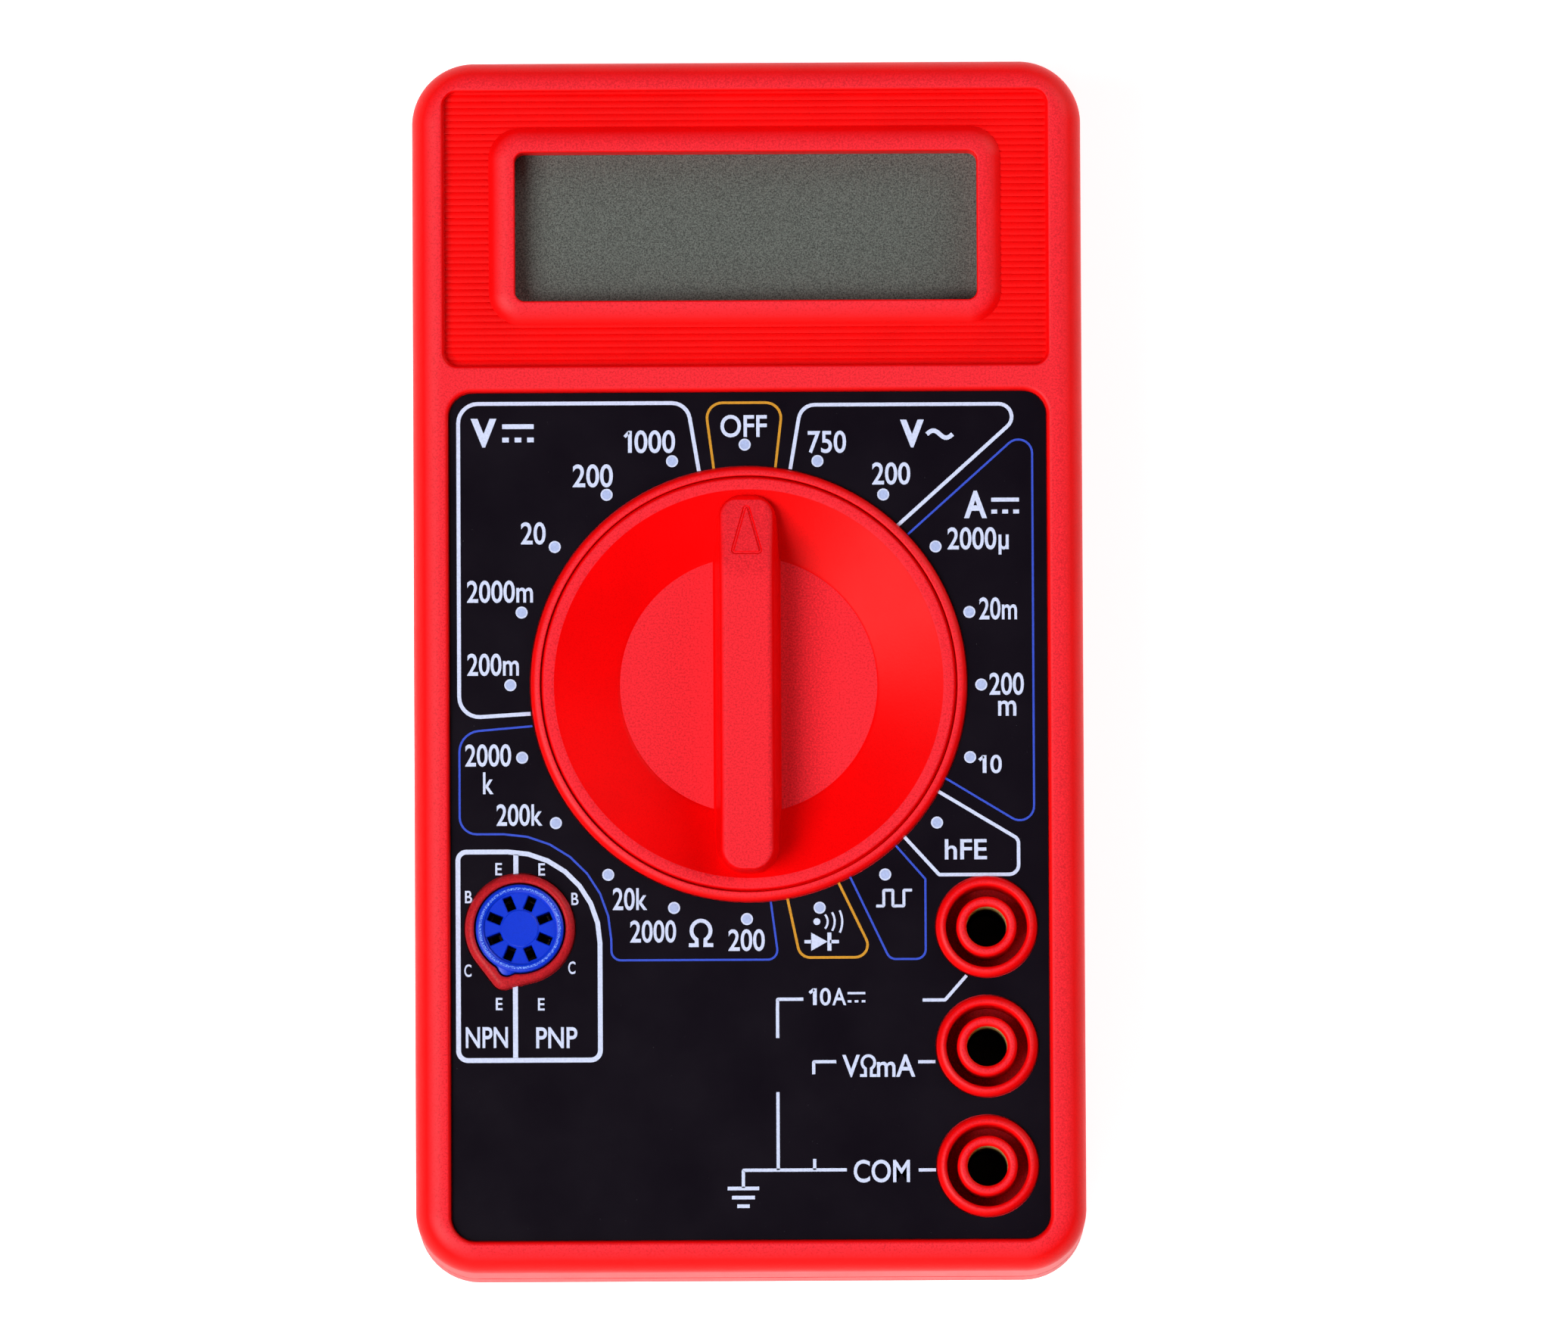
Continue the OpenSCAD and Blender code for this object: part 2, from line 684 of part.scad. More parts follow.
// Turned brass tube: open at the top, blind at the bottom, with a solder flange on the board
module input_jack(y) {
    color("goldenrod") translate([jack_x, y, 0]) difference() {
        union() {
            translate([0, 0, jack_top - jack_len]) cylinder(r = jack_bore_r + jack_wall, h = jack_len - 0.05);
            translate([0, 0, board_low - 0.9]) cylinder(r = jack_bore_r + 1.4, h = 0.85);
        }
        translate([0, 0, jack_top - jack_len + 1]) cylinder(r = jack_bore_r, h = jack_len);
    }
}

module jack_10a() { input_jack(jack_y[0]); }

module jack_volt() { input_jack(jack_y[1]); }

module jack_common() { input_jack(jack_y[2]); }

// Heavy resistance wire bent into a loop between the common and 10 A jacks
module shunt_wire() {
    wire_r = 0.8;
    bend_r = 3;
    shunt_x = 30;
    leg_top = board_low;
    loop_low = 6;
    ends = [jack_y[0] - 10, jack_y[2] + 3];
    color("#b08a50") translate([shunt_x, 0, 0]) {
        for (y = ends) translate([0, y, loop_low + bend_r])
            cylinder(r = wire_r, h = leg_top - loop_low - bend_r, $fn = 32);
        translate([0, ends[1] + bend_r, loop_low]) rotate([-90, 0, 0])
            cylinder(r = wire_r, h = ends[0] - ends[1] - 2 * bend_r, $fn = 32);
        translate([0, ends[0] - bend_r, loop_low + bend_r]) rotate([90, 0, 90]) rotate(-90)
            rotate_extrude(angle = 90) translate([bend_r, 0]) circle(wire_r, $fn = 32);
        translate([0, ends[1] + bend_r, loop_low + bend_r]) rotate([90, 0, 90]) rotate(180)
            rotate_extrude(angle = 90) translate([bend_r, 0]) circle(wire_r, $fn = 32);
    }
}

module hfe_outline(grow) {
    circle(hfe_r + grow);
    rotate(hfe_key_angle) translate([hfe_r - 1, -0.7 - grow]) square([1.5 + grow, 1.4 + 2 * grow]);
}

module hfe_socket() {
    color("#1246d6") translate(concat(hfe_pos, board_top)) difference() {
        union() {
            linear_extrude(case_h - board_top - 0.3) hfe_outline(0);
            translate([0, 0, case_h - board_top - 0.4]) difference() {
                cylinder(r = hfe_r - 0.1, h = 0.4);
                translate([0, 0, -1]) cylinder(r = hfe_r - 0.9, h = 2);
            }
        }
        for (i = [0:hfe_pins - 1]) rotate(22.5 + 45 * i)
            translate([hfe_slot_r - hfe_slot[1] / 2, -hfe_slot[0] / 2, -1])
                cube([hfe_slot[1], hfe_slot[0], 12]);
    }
}

module hfe_contacts() {
    color("gold") translate(concat(hfe_pos, board_low - 0.8))
        for (i = [0:hfe_pins - 1]) rotate(22.5 + 45 * i) {
            translate([hfe_slot_r, 0, 0]) cylinder(r = 0.4, h = 3, $fn = 24);
            for (sx = [-1, 1]) translate([hfe_slot_r + sx * 0.5 - 0.12, -0.35, 2.8])
                cube([0.24, 0.7, 5]);
            translate([hfe_slot_r - 0.6, -0.35, 2.6]) cube([1.2, 0.7, 0.4]);
        }
}

// ---- Fuse and buzzer ----

module along_fuse() {
    translate(fuse_pos) rotate([90, 0, 0]) children();
}

module fuse_glass() {
    color("#cfe4ea") along_fuse() difference() {
        cylinder(r = fuse_r - 0.15, h = fuse_l - 1, center = true);
        cylinder(r = fuse_r - 0.65, h = fuse_l, center = true);
    }
}

module fuse_caps() {
    color("silver") along_fuse() for (sz = [-1, 1]) mirror([0, 0, sz < 0 ? 1 : 0])
        translate([0, 0, fuse_l / 2 - 5]) difference() {
            cylinder(r = fuse_r + 0.1, h = 5);
            translate([0, 0, -1]) cylinder(r = fuse_r - 0.14, h = 5.5);
        }
}

module fuse_clips() {
    clip_t = 0.4;
    color("#d8d8d0") along_fuse() for (sz = [-1, 1]) translate([0, 0, sz * (fuse_l / 2 - 2.6)])
        linear_extrude(3.6, center = true) {
            difference() {
                circle(fuse_r + 0.15 + clip_t);
                circle(fuse_r + 0.15);
                translate([-1.6, -fuse_r - 3]) square([3.2, 4]);
            }
            translate([-0.6, fuse_r + 0.3]) square([1.2, board_low - fuse_pos[2] - fuse_r - 0.3]);
        }
}

module buzzer_disc() {
    color("goldenrod") translate(concat(buzzer_pos, wall)) cylinder(r = buzzer_r, h = 0.3);
}

module buzzer_ceramic() {
    color("ivory") translate(concat(buzzer_pos, wall + 0.3)) cylinder(r = 7, h = 0.25);
}

module buzzer_leads() {
    color("#404040") {
        tube(smooth_route(buzzer_rim_route, 4), thin_lead_r);
        tube(smooth_route(buzzer_core_route, 4), thin_lead_r);
    }
}

// ---- Battery ----

module battery() {
    color("#3a3f48") translate([battery_x, battery_y, battery_mid_z]) rotate([90, 0, 90])
        linear_extrude(battery_l) rounded_rect(battery_w, battery_h, 2);
}

module battery_terminals() {
    color("silver") translate([stud_x, battery_y, battery_mid_z]) rotate([0, 90, 0]) {
        translate([0, -stud_gap / 2, 0]) difference() {
            cylinder(r = 2.9, h = stud_h);
            translate([0, 0, 1]) cylinder(r = 2, h = stud_h);
        }
        translate([0, stud_gap / 2, 0]) difference() {
            cylinder(r = 4, h = stud_h, $fn = 6);
            translate([0, 0, 0.6]) cylinder(r = 3, h = stud_h);
        }
    }
}

module snap_cover() {
    color("#202020") translate([stud_x + 0.3, battery_y, battery_mid_z]) rotate([90, 0, 90]) difference() {
        linear_extrude(snap_t) rounded_rect(25.4, 12.8, 4);
        translate([-stud_gap / 2, 0, -1]) cylinder(r = 4.3, h = 4);
        translate([stud_gap / 2, 0, -1]) cylinder(r = 4.3, h = 4);
        // Sockets that the two leads are moulded into
        for (route = [positive_route, negative_route])
            translate([route[0][1] - battery_y, route[0][2] - battery_mid_z, snap_t - 0.8])
                cylinder(r = lead_r + 0.05, h = 2, $fn = 24);
    }
}

module snap_studs() {
    snap_h = stud_h - 0.2;
    plate = 0.4;
    color("lightgray") translate([stud_x + 0.7, battery_y, battery_mid_z]) rotate([0, 90, 0]) {
        translate([0, -stud_gap / 2, 0]) difference() {
            cylinder(r = 3.7, h = snap_h);
            translate([0, 0, -1]) cylinder(r = 3, h = snap_h + 1 - plate);
        }
        translate([0, stud_gap / 2, 0]) {
            cylinder(r = 2.7, h = snap_h);
            translate([0, 0, snap_h - plate]) cylinder(r = 3.7, h = plate);
        }
    }
}

module lead_positive() {
    color("#c81010") tube(smooth_route(positive_route, 5), lead_r);
}

module lead_negative() {
    color("#181818") tube(smooth_route(negative_route, 5), lead_r);
}

front_case();
rear_cover();
front_label();
case_screws();
rotary_knob();
slider_contacts();
detent_springs();
detent_ball_right();
detent_ball_left();
lcd_glass();
lcd_polarizer();
lcd_holder();
zebra_strip();
circuit_board();
board_screws();
chip_blob();
resistors();
film_capacitors();
electrolytic_capacitor();
diodes();
transistors();
thermistor();
trimmer_base();
trimmer_rotor();
jack_10a();
jack_volt();
jack_common();
shunt_wire();
hfe_socket();
hfe_contacts();
fuse_glass();
fuse_caps();
fuse_clips();
buzzer_disc();
buzzer_ceramic();
buzzer_leads();
battery();
battery_terminals();
snap_cover();
snap_studs();
lead_positive();
lead_negative();
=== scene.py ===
"""Looks of a pocket digital multimeter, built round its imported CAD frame."""

import math

import bmesh
import bpy
from mathutils import Matrix, Vector


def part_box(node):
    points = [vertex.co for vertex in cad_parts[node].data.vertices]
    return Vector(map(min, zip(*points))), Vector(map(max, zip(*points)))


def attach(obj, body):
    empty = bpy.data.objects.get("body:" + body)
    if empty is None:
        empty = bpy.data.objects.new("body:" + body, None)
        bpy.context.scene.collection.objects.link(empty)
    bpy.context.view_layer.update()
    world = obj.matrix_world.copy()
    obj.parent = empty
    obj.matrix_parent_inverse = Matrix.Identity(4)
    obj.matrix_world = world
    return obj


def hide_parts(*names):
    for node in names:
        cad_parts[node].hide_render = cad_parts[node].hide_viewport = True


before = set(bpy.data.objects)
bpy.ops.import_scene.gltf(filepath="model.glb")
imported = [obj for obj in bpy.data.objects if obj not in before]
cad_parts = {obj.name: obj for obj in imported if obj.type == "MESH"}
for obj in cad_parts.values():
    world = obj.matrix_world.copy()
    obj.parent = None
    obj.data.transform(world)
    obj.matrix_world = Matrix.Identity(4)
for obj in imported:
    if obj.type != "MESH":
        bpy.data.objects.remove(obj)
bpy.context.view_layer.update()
scene = bpy.context.scene

MM = 0.001
ARC_STEPS = 6


def middle(node):
    """Centre of a CAD node's box, in millimetres."""
    low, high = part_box(node)
    return (low + high) / 2 / MM


def top(node):
    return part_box(node)[1].z / MM


case_low, case_high = (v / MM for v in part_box("front_case"))
CASE_W = case_high.x - case_low.x
CASE_L = case_high.y - case_low.y
CASE_H = case_high.z
SPLIT = case_low.z
knob_mid = middle("rotary_knob")
hfe_mid = middle("hfe_contacts")
glass_mid = middle("lcd_glass")
label_low, label_high = (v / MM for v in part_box("front_label"))
LABEL_TOP = label_high.z
PLATE = label_low.z
PLATE_LOW = PLATE - 2
JACKS = [middle(n) for n in ("jack_10a", "jack_volt", "jack_common")]
BORDER_SIDE = 3.7
EDGE_R = 3.0
LIP = 0.55
GRIP_LOW = 31.4
GRIP_TOP = case_high.y - (label_low.y - case_low.y - 0.1)
RIB_PITCH = 0.68
BEZEL = 2.4
WINDOW = (48.0, 15.2, 1.0)
DISH = CASE_H - 2.4
DISH_FLOOR_R = 13.45


# ---- Shapes, in millimetres ----

def hull(circles, count=64):
    """Outline round some circles (x, y, r), as a function of how far it is drawn in."""
    def outline(inset=0.0):
        points = []
        for k in range(count):
            a = math.radians(-90 + (k + 0.5) * 360 / count)
            ux, uy = math.cos(a), math.sin(a)
            x, y, r = max(circles, key=lambda c: c[0] * ux + c[1] * uy + c[2])
            points.append((x + (r - inset) * ux, y + (r - inset) * uy))
        return points
    return outline


def block(w, length, r, x=0.0, y=0.0, count=64):
    """Rounded rectangle about a point."""
    dx, dy = w / 2 - r, length / 2 - r
    return hull([(x + sx * dx, y + sy * dy, r) for sx in (-1, 1) for sy in (-1, 1)], count)


def disc(r, x=0.0, y=0.0, count=96):
    return hull([(x, y, r)], count)


def arc(cx, cz, r, start, end, steps=ARC_STEPS):
    """Points of an arc, as (inset or radius, z) pairs."""
    return [
        (cx + r * math.cos(math.radians(start + (end - start) * k / steps)),
         cz + r * math.sin(math.radians(start + (end - start) * k / steps)))
        for k in range(steps + 1)
    ]


def loft(rings, loop=False):
    """Closed skin over rings that have the same number of points."""
    n = len(rings[0])
    verts = [p for ring in rings for p in ring]
    faces = []
    for i in range(len(rings) if loop else len(rings) - 1):
        a, b = i * n, (i + 1) % len(rings) * n
        faces += [(a + k, a + (k + 1) % n, b + (k + 1) % n, b + k) for k in range(n)]
    if not loop:
        faces.append(tuple(reversed(range(n))))
        faces.append(tuple(range(len(verts) - n, len(verts))))
    return verts, faces


def stack(outline, profile, loop=False):
    """Solid from an outline drawn in by d at height z, for each (d, z)."""
    return loft([[(x, y, z) for x, y in outline(d)] for d, z in profile], loop)


def lathe(profile, x=0.0, y=0.0, count=96, loop=False):
    """Solid of revolution about a vertical axis, from (r, z) pairs."""
    unit = disc(1.0, 0, 0, count)(0)
    return loft([[(x + r * ux, y + r * uy, z) for ux, uy in unit] for r, z in profile], loop)


def fillet_path(corners, closed=False, step=12):
    """Polyline whose corners (x, y, r) are rounded."""
    points = []
    n = len(corners)
    for i, corner in enumerate(corners):
        here = Vector(corner[:2])
        r = corner[2] if len(corner) > 2 else 0
        if not closed and i in (0, n - 1) or r == 0:
            points.append(tuple(here))
            continue
        back = (Vector(corners[i - 1][:2]) - here).normalized()
        on = (Vector(corners[(i + 1) % n][:2]) - here).normalized()
        half = back.angle(on) / 2
        centre = here + (back + on).normalized() * r / math.sin(half)
        a = here + back * r / math.tan(half) - centre
        b = here + on * r / math.tan(half) - centre
        turn = a.angle_signed(b)
        steps = max(2, int(abs(math.degrees(turn)) / step))
        for k in range(steps + 1):
            t = -turn * k / steps
            c, s = math.cos(t), math.sin(t)
            points.append((centre.x + a.x * c - a.y * s, centre.y + a.x * s + a.y * c))
    return points


def ribbon(path, width, low, high, closed=False):
    """Thin printed line along a polyline."""
    rings = []
    n = len(path)
    for i, p in enumerate(path):
        before = Vector(path[i - 1] if closed or i else p)
        after = Vector(path[(i + 1) % n] if closed or i < n - 1 else p)
        here = Vector(p)
        d1 = (here - before).normalized() if here != before else (after - here).normalized()
        d2 = (after - here).normalized() if here != after else d1
        along = (d1 + d2).normalized()
        reach = width / 2 / max(0.5, along.dot(d1))
        side = Vector((-along.y, along.x)) * reach
        l, r = here + side, here - side
        rings.append([(l.x, l.y, low), (r.x, r.y, low), (r.x, r.y, high), (l.x, l.y, high)])
    return loft(rings, closed)


def merge(parts):
    """Several (verts, faces) as one."""
    verts, faces = [], []
    for v, f in parts:
        base = len(verts)
        verts += v
        faces += [tuple(i + base for i in face) for face in f]
    return verts, faces


def solid(name, shape):
    mesh = bpy.data.meshes.new(name)
    mesh.from_pydata(shape[0], [], shape[1])
    bm = bmesh.new()
    bm.from_mesh(mesh)
    bmesh.ops.recalc_face_normals(bm, faces=bm.faces)
    bm.to_mesh(mesh)
    bm.free()
    obj = bpy.data.objects.new(name, mesh)
    scene.collection.objects.link(obj)
    return obj


def combine(base, parts, operation):
    """Applies a boolean with several solids that don't touch each other."""
    tool = solid("tool", merge(parts))
    modifier = base.modifiers.new("boolean", "BOOLEAN")
    modifier.operation = operation
    modifier.solver = "MANIFOLD"
    modifier.object = tool
    result = bpy.data.meshes.new_from_object(base.evaluated_get(bpy.context.evaluated_depsgraph_get()))
    if not result.polygons:
        modifier.solver = "EXACT"
        result = bpy.data.meshes.new_from_object(base.evaluated_get(bpy.context.evaluated_depsgraph_get()))
    base.modifiers.clear()
    base.data = result
    bpy.data.objects.remove(tool)


def tidy(obj):
    """Joins the coplanar slivers that booleans leave."""
    bm = bmesh.new()
    bm.from_mesh(obj.data)
    bmesh.ops.remove_doubles(bm, verts=bm.verts, dist=0.0005)
    bmesh.ops.dissolve_limit(bm, angle_limit=math.radians(0.4), verts=bm.verts, edges=bm.edges)
    bm.to_mesh(obj.data)
    bm.free()


def place(obj, body, material, nodes=(), soften=True):
    """Scales a piece to metres, smooths it, and puts it on its body."""
    obj.data.transform(Matrix.Scale(MM, 4))
    obj.data.shade_smooth()
    obj.data.set_sharp_from_angle(angle=math.radians(35))
    if soften:
        obj.modifiers.new("normals", "WEIGHTED_NORMAL").keep_sharp = True
    obj.data.materials.clear()
    obj.data.materials.append(material)
    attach(obj, body)
    if nodes:
        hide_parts(*nodes)
    return obj


# ---- Materials ----

class Shader:
    """Small helper for one procedural material."""

    def __init__(self, name):
        self.material = bpy.data.materials.new(name)
        self.material.use_nodes = True
        self.tree = self.material.node_tree
        self.bsdf = self.tree.nodes["Principled BSDF"]
        self.place = self.add("ShaderNodeTexCoord").outputs["Object"]

    def add(self, kind, **values):
        node = self.tree.nodes.new(kind)
        for key, value in values.items():
            setattr(node, key, value)
        return node

    def link(self, source, target):
        self.tree.links.new(source, target)

    def put(self, socket, value):
        """Links an output, or sets a plain value."""
        if isinstance(value, bpy.types.NodeSocket):
            self.link(value, socket)
        else:
            socket.default_value = value

    def set(self, **values):
        for key, value in values.items():
            self.put(self.bsdf.inputs[key.replace("_", " ")], value)
        return self

    def noise(self, size, detail=2.0, rough=0.5):
        """Noise whose features are about size millimetres wide."""
        node = self.add("ShaderNodeTexNoise")
        node.inputs["Scale"].default_value = 1 / (size * MM)
        node.inputs["Detail"].default_value = detail
        node.inputs["Roughness"].default_value = rough
        self.link(self.place, node.inputs["Vector"])
        return node.outputs["Fac"]

    def cells(self, size, feature="F1"):
        """Cell pattern whose cells are about size millimetres wide."""
        node = self.add("ShaderNodeTexVoronoi", feature=feature)
        node.inputs["Scale"].default_value = 1 / (size * MM)
        self.link(self.place, node.inputs["Vector"])
        return node.outputs["Distance"]

    def bands(self, pitch, direction, distort=0.0):
        """Stripes with a pitch in millimetres."""
        node = self.add("ShaderNodeTexWave", wave_type="BANDS", bands_direction=direction)
        node.inputs["Scale"].default_value = 2 * math.pi / (20 * pitch * MM)
        node.inputs["Distortion"].default_value = distort
        self.link(self.place, node.inputs["Vector"])
        return node.outputs["Fac"]

    def remap(self, value, low, high, from_low=0.0, from_high=1.0):
        node = self.add("ShaderNodeMapRange")
        node.inputs["From Min"].default_value = from_low
        node.inputs["From Max"].default_value = from_high
        node.inputs["To Min"].default_value = low
        node.inputs["To Max"].default_value = high
        self.put(node.inputs["Value"], value)
        return node.outputs["Result"]

    def math(self, operation, a, b=0.5):
        node = self.add("ShaderNodeMath", operation=operation)
        for socket, value in zip(node.inputs, (a, b)):
            self.put(socket, value)
        return node.outputs[0]

    def blend(self, amount, a, b):
        node = self.add("ShaderNodeMix", data_type="RGBA")
        self.put(node.inputs[0], amount)
        for socket, value in ((node.inputs[6], a), (node.inputs[7], b)):
            self.put(socket, (*value, 1) if isinstance(value, tuple) else value)
        return node.outputs[2]

    def axis(self, name):
        node = self.add("ShaderNodeSeparateXYZ")
        self.link(self.place, node.inputs[0])
        return node.outputs[name]

    def upward(self):
        """How far the surface faces up, as the normal's Z."""
        node = self.add("ShaderNodeSeparateXYZ")
        self.link(self.add("ShaderNodeTexCoord").outputs["Normal"], node.inputs[0])
        return node.outputs["Z"]

    def radius(self, x, y):
        """Distance in millimetres from a vertical axis."""
        node = self.add("ShaderNodeSeparateXYZ")
        self.link(self.place, node.inputs[0])
        dx = self.math("SUBTRACT", node.outputs["X"], x * MM)
        dy = self.math("SUBTRACT", node.outputs["Y"], y * MM)
        squares = self.math("ADD", self.math("MULTIPLY", dx, dx), self.math("MULTIPLY", dy, dy))
        return self.math("MULTIPLY", self.math("SQRT", squares), 1 / MM)

    def bump(self, height, depth, normal=None):
        """Bump whose full height is depth millimetres."""
        node = self.add("ShaderNodeBump")
        node.inputs["Strength"].default_value = 1.0
        node.inputs["Distance"].default_value = depth * MM
        self.link(height, node.inputs["Height"])
        if normal is not None:
            self.link(normal, node.inputs["Normal"])
        return node.outputs["Normal"]


def shade(color, k):
    return tuple(min(1.0, c * k) for c in color)


def plastic(name, color, rough, grain=0.14, depth=0.004, vary=0.12, specular=0.5):
    """Moulded plastic with a spark-eroded grain, faint clouding and uneven gloss."""
    s = Shader(name)
    clouds = s.noise(9, 3)
    fine = s.noise(grain, 3, 0.6)
    pits = s.cells(grain * 1.6, "SMOOTH_F1")
    tint = s.blend(s.remap(clouds, 0, 1, 0.3, 0.7), shade(color, 1 - vary), shade(color, 1 + vary))
    tint = s.blend(s.remap(fine, 0, 0.35, 0.48, 0.72), tint, shade(color, 0.62))
    height = s.math("ADD", fine, s.math("MULTIPLY", pits, 0.6))
    s.set(Base_Color=tint, Roughness=s.remap(s.noise(3.5, 4), rough - 0.015, rough + 0.02, 0.3, 0.7),
          Specular_IOR_Level=specular, Normal=s.bump(height, depth))
    return s


def metal(name, color, rough, pitch=0.0, direction="Z", vary=0.15, depth=0.002):
    """Metal with smudges and, where it is turned or drawn, fine tool marks."""
    s = Shader(name)
    smudge = s.noise(2.2, 4, 0.6)
    tint = s.blend(s.remap(smudge, 0, 1, 0.3, 0.7), shade(color, 1 - vary), shade(color, 1 + vary))
    height = s.bands(pitch, direction, 1.5) if pitch else s.noise(0.25, 4, 0.6)
    s.set(Base_Color=tint, Metallic=1.0, Roughness=s.remap(smudge, rough - 0.05, rough + 0.1, 0.3, 0.7),
          Normal=s.bump(height, depth))
    return s


RED = (0.84, 0.0008, 0.0014)
RED_BACK = (0.74, 0.005, 0.006)
# Paler red painted on as a sheen where faces catch the light; darkened, it also paints shade
RED_SHEEN = (0.88, 0.021, 0.032)


def painted_light_red(s, k=1.0):
    """Paler red with a visible grain, painted on as a sheen; with k below 1 it paints shade instead."""
    grain = s.noise(0.2, 3, 0.7)
    return s.blend(s.remap(grain, 0, 1, 0.34, 0.66), shade(RED_SHEEN, 0.70 * k), shade(RED_SHEEN, 1.24 * k))


def case_material():
    """Spark texture all over. Faces that look up are painted a paler red as a painted sheen, except in the
    ribbed field, so roundings and ribs keep the deeper red; the socket ring is painted darker as painted
    shade.
    """
    s = plastic("case_red", RED, 0.42, 0.16, 0.010, 0.06, 0.12)
    x, y, z = (s.math("MULTIPLY", s.axis(name), 1 / MM) for name in "XYZ")
    from_middle = s.math("ABSOLUTE", s.math("ADD", x, 0.17))
    inside = s.math("LESS_THAN", from_middle, CASE_W / 2 - BORDER_SIDE + 0.27)
    above = s.math("MULTIPLY", s.math("GREATER_THAN", y, GRIP_LOW), s.math("LESS_THAN", y, GRIP_TOP))
    grip = s.math("MULTIPLY", s.math("MULTIPLY", inside, above), s.math("LESS_THAN", z, PLATE + 0.35))
    # Painted sheen: faces that look up, outside the ribbed field, are painted the paler red
    flat = s.math("MULTIPLY", s.remap(s.upward(), 0, 1, 0.80, 0.99), s.math("SUBTRACT", 1.0, grip))
    base = s.bsdf.inputs["Base Color"].links[0].from_socket
    finish = s.blend(flat, base, painted_light_red(s))
    # Painted shade: the raised ring round the transistor socket is painted a darker red
    ring = s.math("LESS_THAN", s.radius(hfe_mid.x, hfe_mid.y), 7.2)
    s.set(Base_Color=s.blend(ring, finish, painted_light_red(s, 0.52)))
    return s.material


case_red = case_material()
back_red = plastic("back_red", RED_BACK, 0.44, 0.20, 0.009, 0.06, 0.14).material


def knob_material():
    """Same red, with a duller etched finish on the dish's floor, the crown and the bar's top, where faces
    that look up are also painted paler as a painted sheen.
    """
    s = plastic("knob_red", RED, 0.34, 0.14, 0.008, 0.06, 0.05)
    r = s.radius(knob_mid.x, knob_mid.y)
    z = s.math("MULTIPLY", s.axis("Z"), 1 / MM)
    floor = s.math("MULTIPLY", s.math("LESS_THAN", r, DISH_FLOOR_R), s.math("LESS_THAN", z, CASE_H - 2.3))
    handle = s.math("GREATER_THAN", z, CASE_H + 0.3)
    crown = s.math("MULTIPLY", s.math("GREATER_THAN", r, 20.35), s.math("GREATER_THAN", z, CASE_H - 0.3))
    etched = s.math("MAXIMUM", s.math("MAXIMUM", floor, handle), crown)
    # Painted sheen: the etched floor, crown and bar top are painted paler where they face up
    mask = s.math("MULTIPLY", etched, s.remap(s.upward(), 0, 1, 0.62, 0.90))
    base = s.bsdf.inputs["Base Color"].links[0].from_socket
    rough = s.bsdf.inputs["Roughness"].links[0].from_socket
    s.set(Base_Color=s.blend(mask, base, painted_light_red(s)),
          Roughness=s.math("ADD", rough, s.math("MULTIPLY", mask, 0.22)))
    return s.material


def label_material():
    """Printed polycarbonate overlay: near black, satin, very finely grained, with a few specks of dust."""
    s = Shader("label_black")
    clouds = s.noise(7, 3)
    base = s.blend(s.remap(clouds, 0, 1, 0.3, 0.7), (0.0032, 0.0014, 0.0046), (0.0042, 0.0020, 0.0058))
    base = s.blend(s.remap(s.noise(0.2, 1), 0, 0.6, 0.82, 0.88), base, (0.10, 0.10, 0.11))
    grain = s.noise(0.1, 2, 0.6)
    s.set(Base_Color=base, Roughness=s.remap(clouds, 0.23, 0.26, 0.3, 0.7), Specular_IOR_Level=0.42,
          Normal=s.bump(grain, 0.003))
    return s.material


def ink_material(name, color):
    """Screen-printed ink: slightly raised, uneven cover and a soft edge to its gloss."""
    s = Shader(name)
    cover = s.noise(0.18, 3, 0.6)
    tint = s.blend(s.remap(cover, 0, 1, 0.35, 0.7), shade(color, 0.86), shade(color, 1.06))
    s.set(Base_Color=tint, Roughness=s.remap(cover, 0.42, 0.55), Specular_IOR_Level=0.35,
          Normal=s.bump(cover, 0.003))
    return s.material


FILM = (0.084, 0.093, 0.083)


def film_material():
    """Anti-glare polarizing film over a blank cell: grey green with a fine sparkle."""
    s = Shader("lcd_film")
    speck = s.noise(0.17, 2, 0.9)
    base = s.blend(s.remap(speck, 0, 1, 0.36, 0.64), shade(FILM, 0.35), shade(FILM, 1.75))
    s.set(Base_Color=base, Roughness=0.42, Specular_IOR_Level=0.4, Normal=s.bump(speck, 0.004))
    return s.material


def socket_material():
    """Strong blue moulding; its raised rim has a rougher grain, with pale blue specks painted on it as
    glints.
    """
    s = plastic("socket_blue", (0.0010, 0.032, 0.58), 0.36, 0.18, 0.006, 0.08, 0.3)
    r = s.radius(hfe_mid.x, hfe_mid.y)
    rim = s.math("MULTIPLY", s.math("GREATER_THAN", r, 4.02), s.math("LESS_THAN", r, 4.28))
    normal = s.bsdf.inputs["Normal"].links[0].from_socket
    base = s.bsdf.inputs["Base Color"].links[0].from_socket
    sparkle = s.noise(0.16, 2, 0.8)
    # Painted highlight: pale blue glint specks along the raised rim
    painted_glint = s.math("MULTIPLY", rim, s.remap(sparkle, 0, 1, 0.46, 0.62))
    s.set(Base_Color=s.blend(painted_glint, base, (0.22, 0.42, 1.0)),
          Normal=s.bump(s.math("MULTIPLY", sparkle, rim), 0.05, normal))
    return s.material


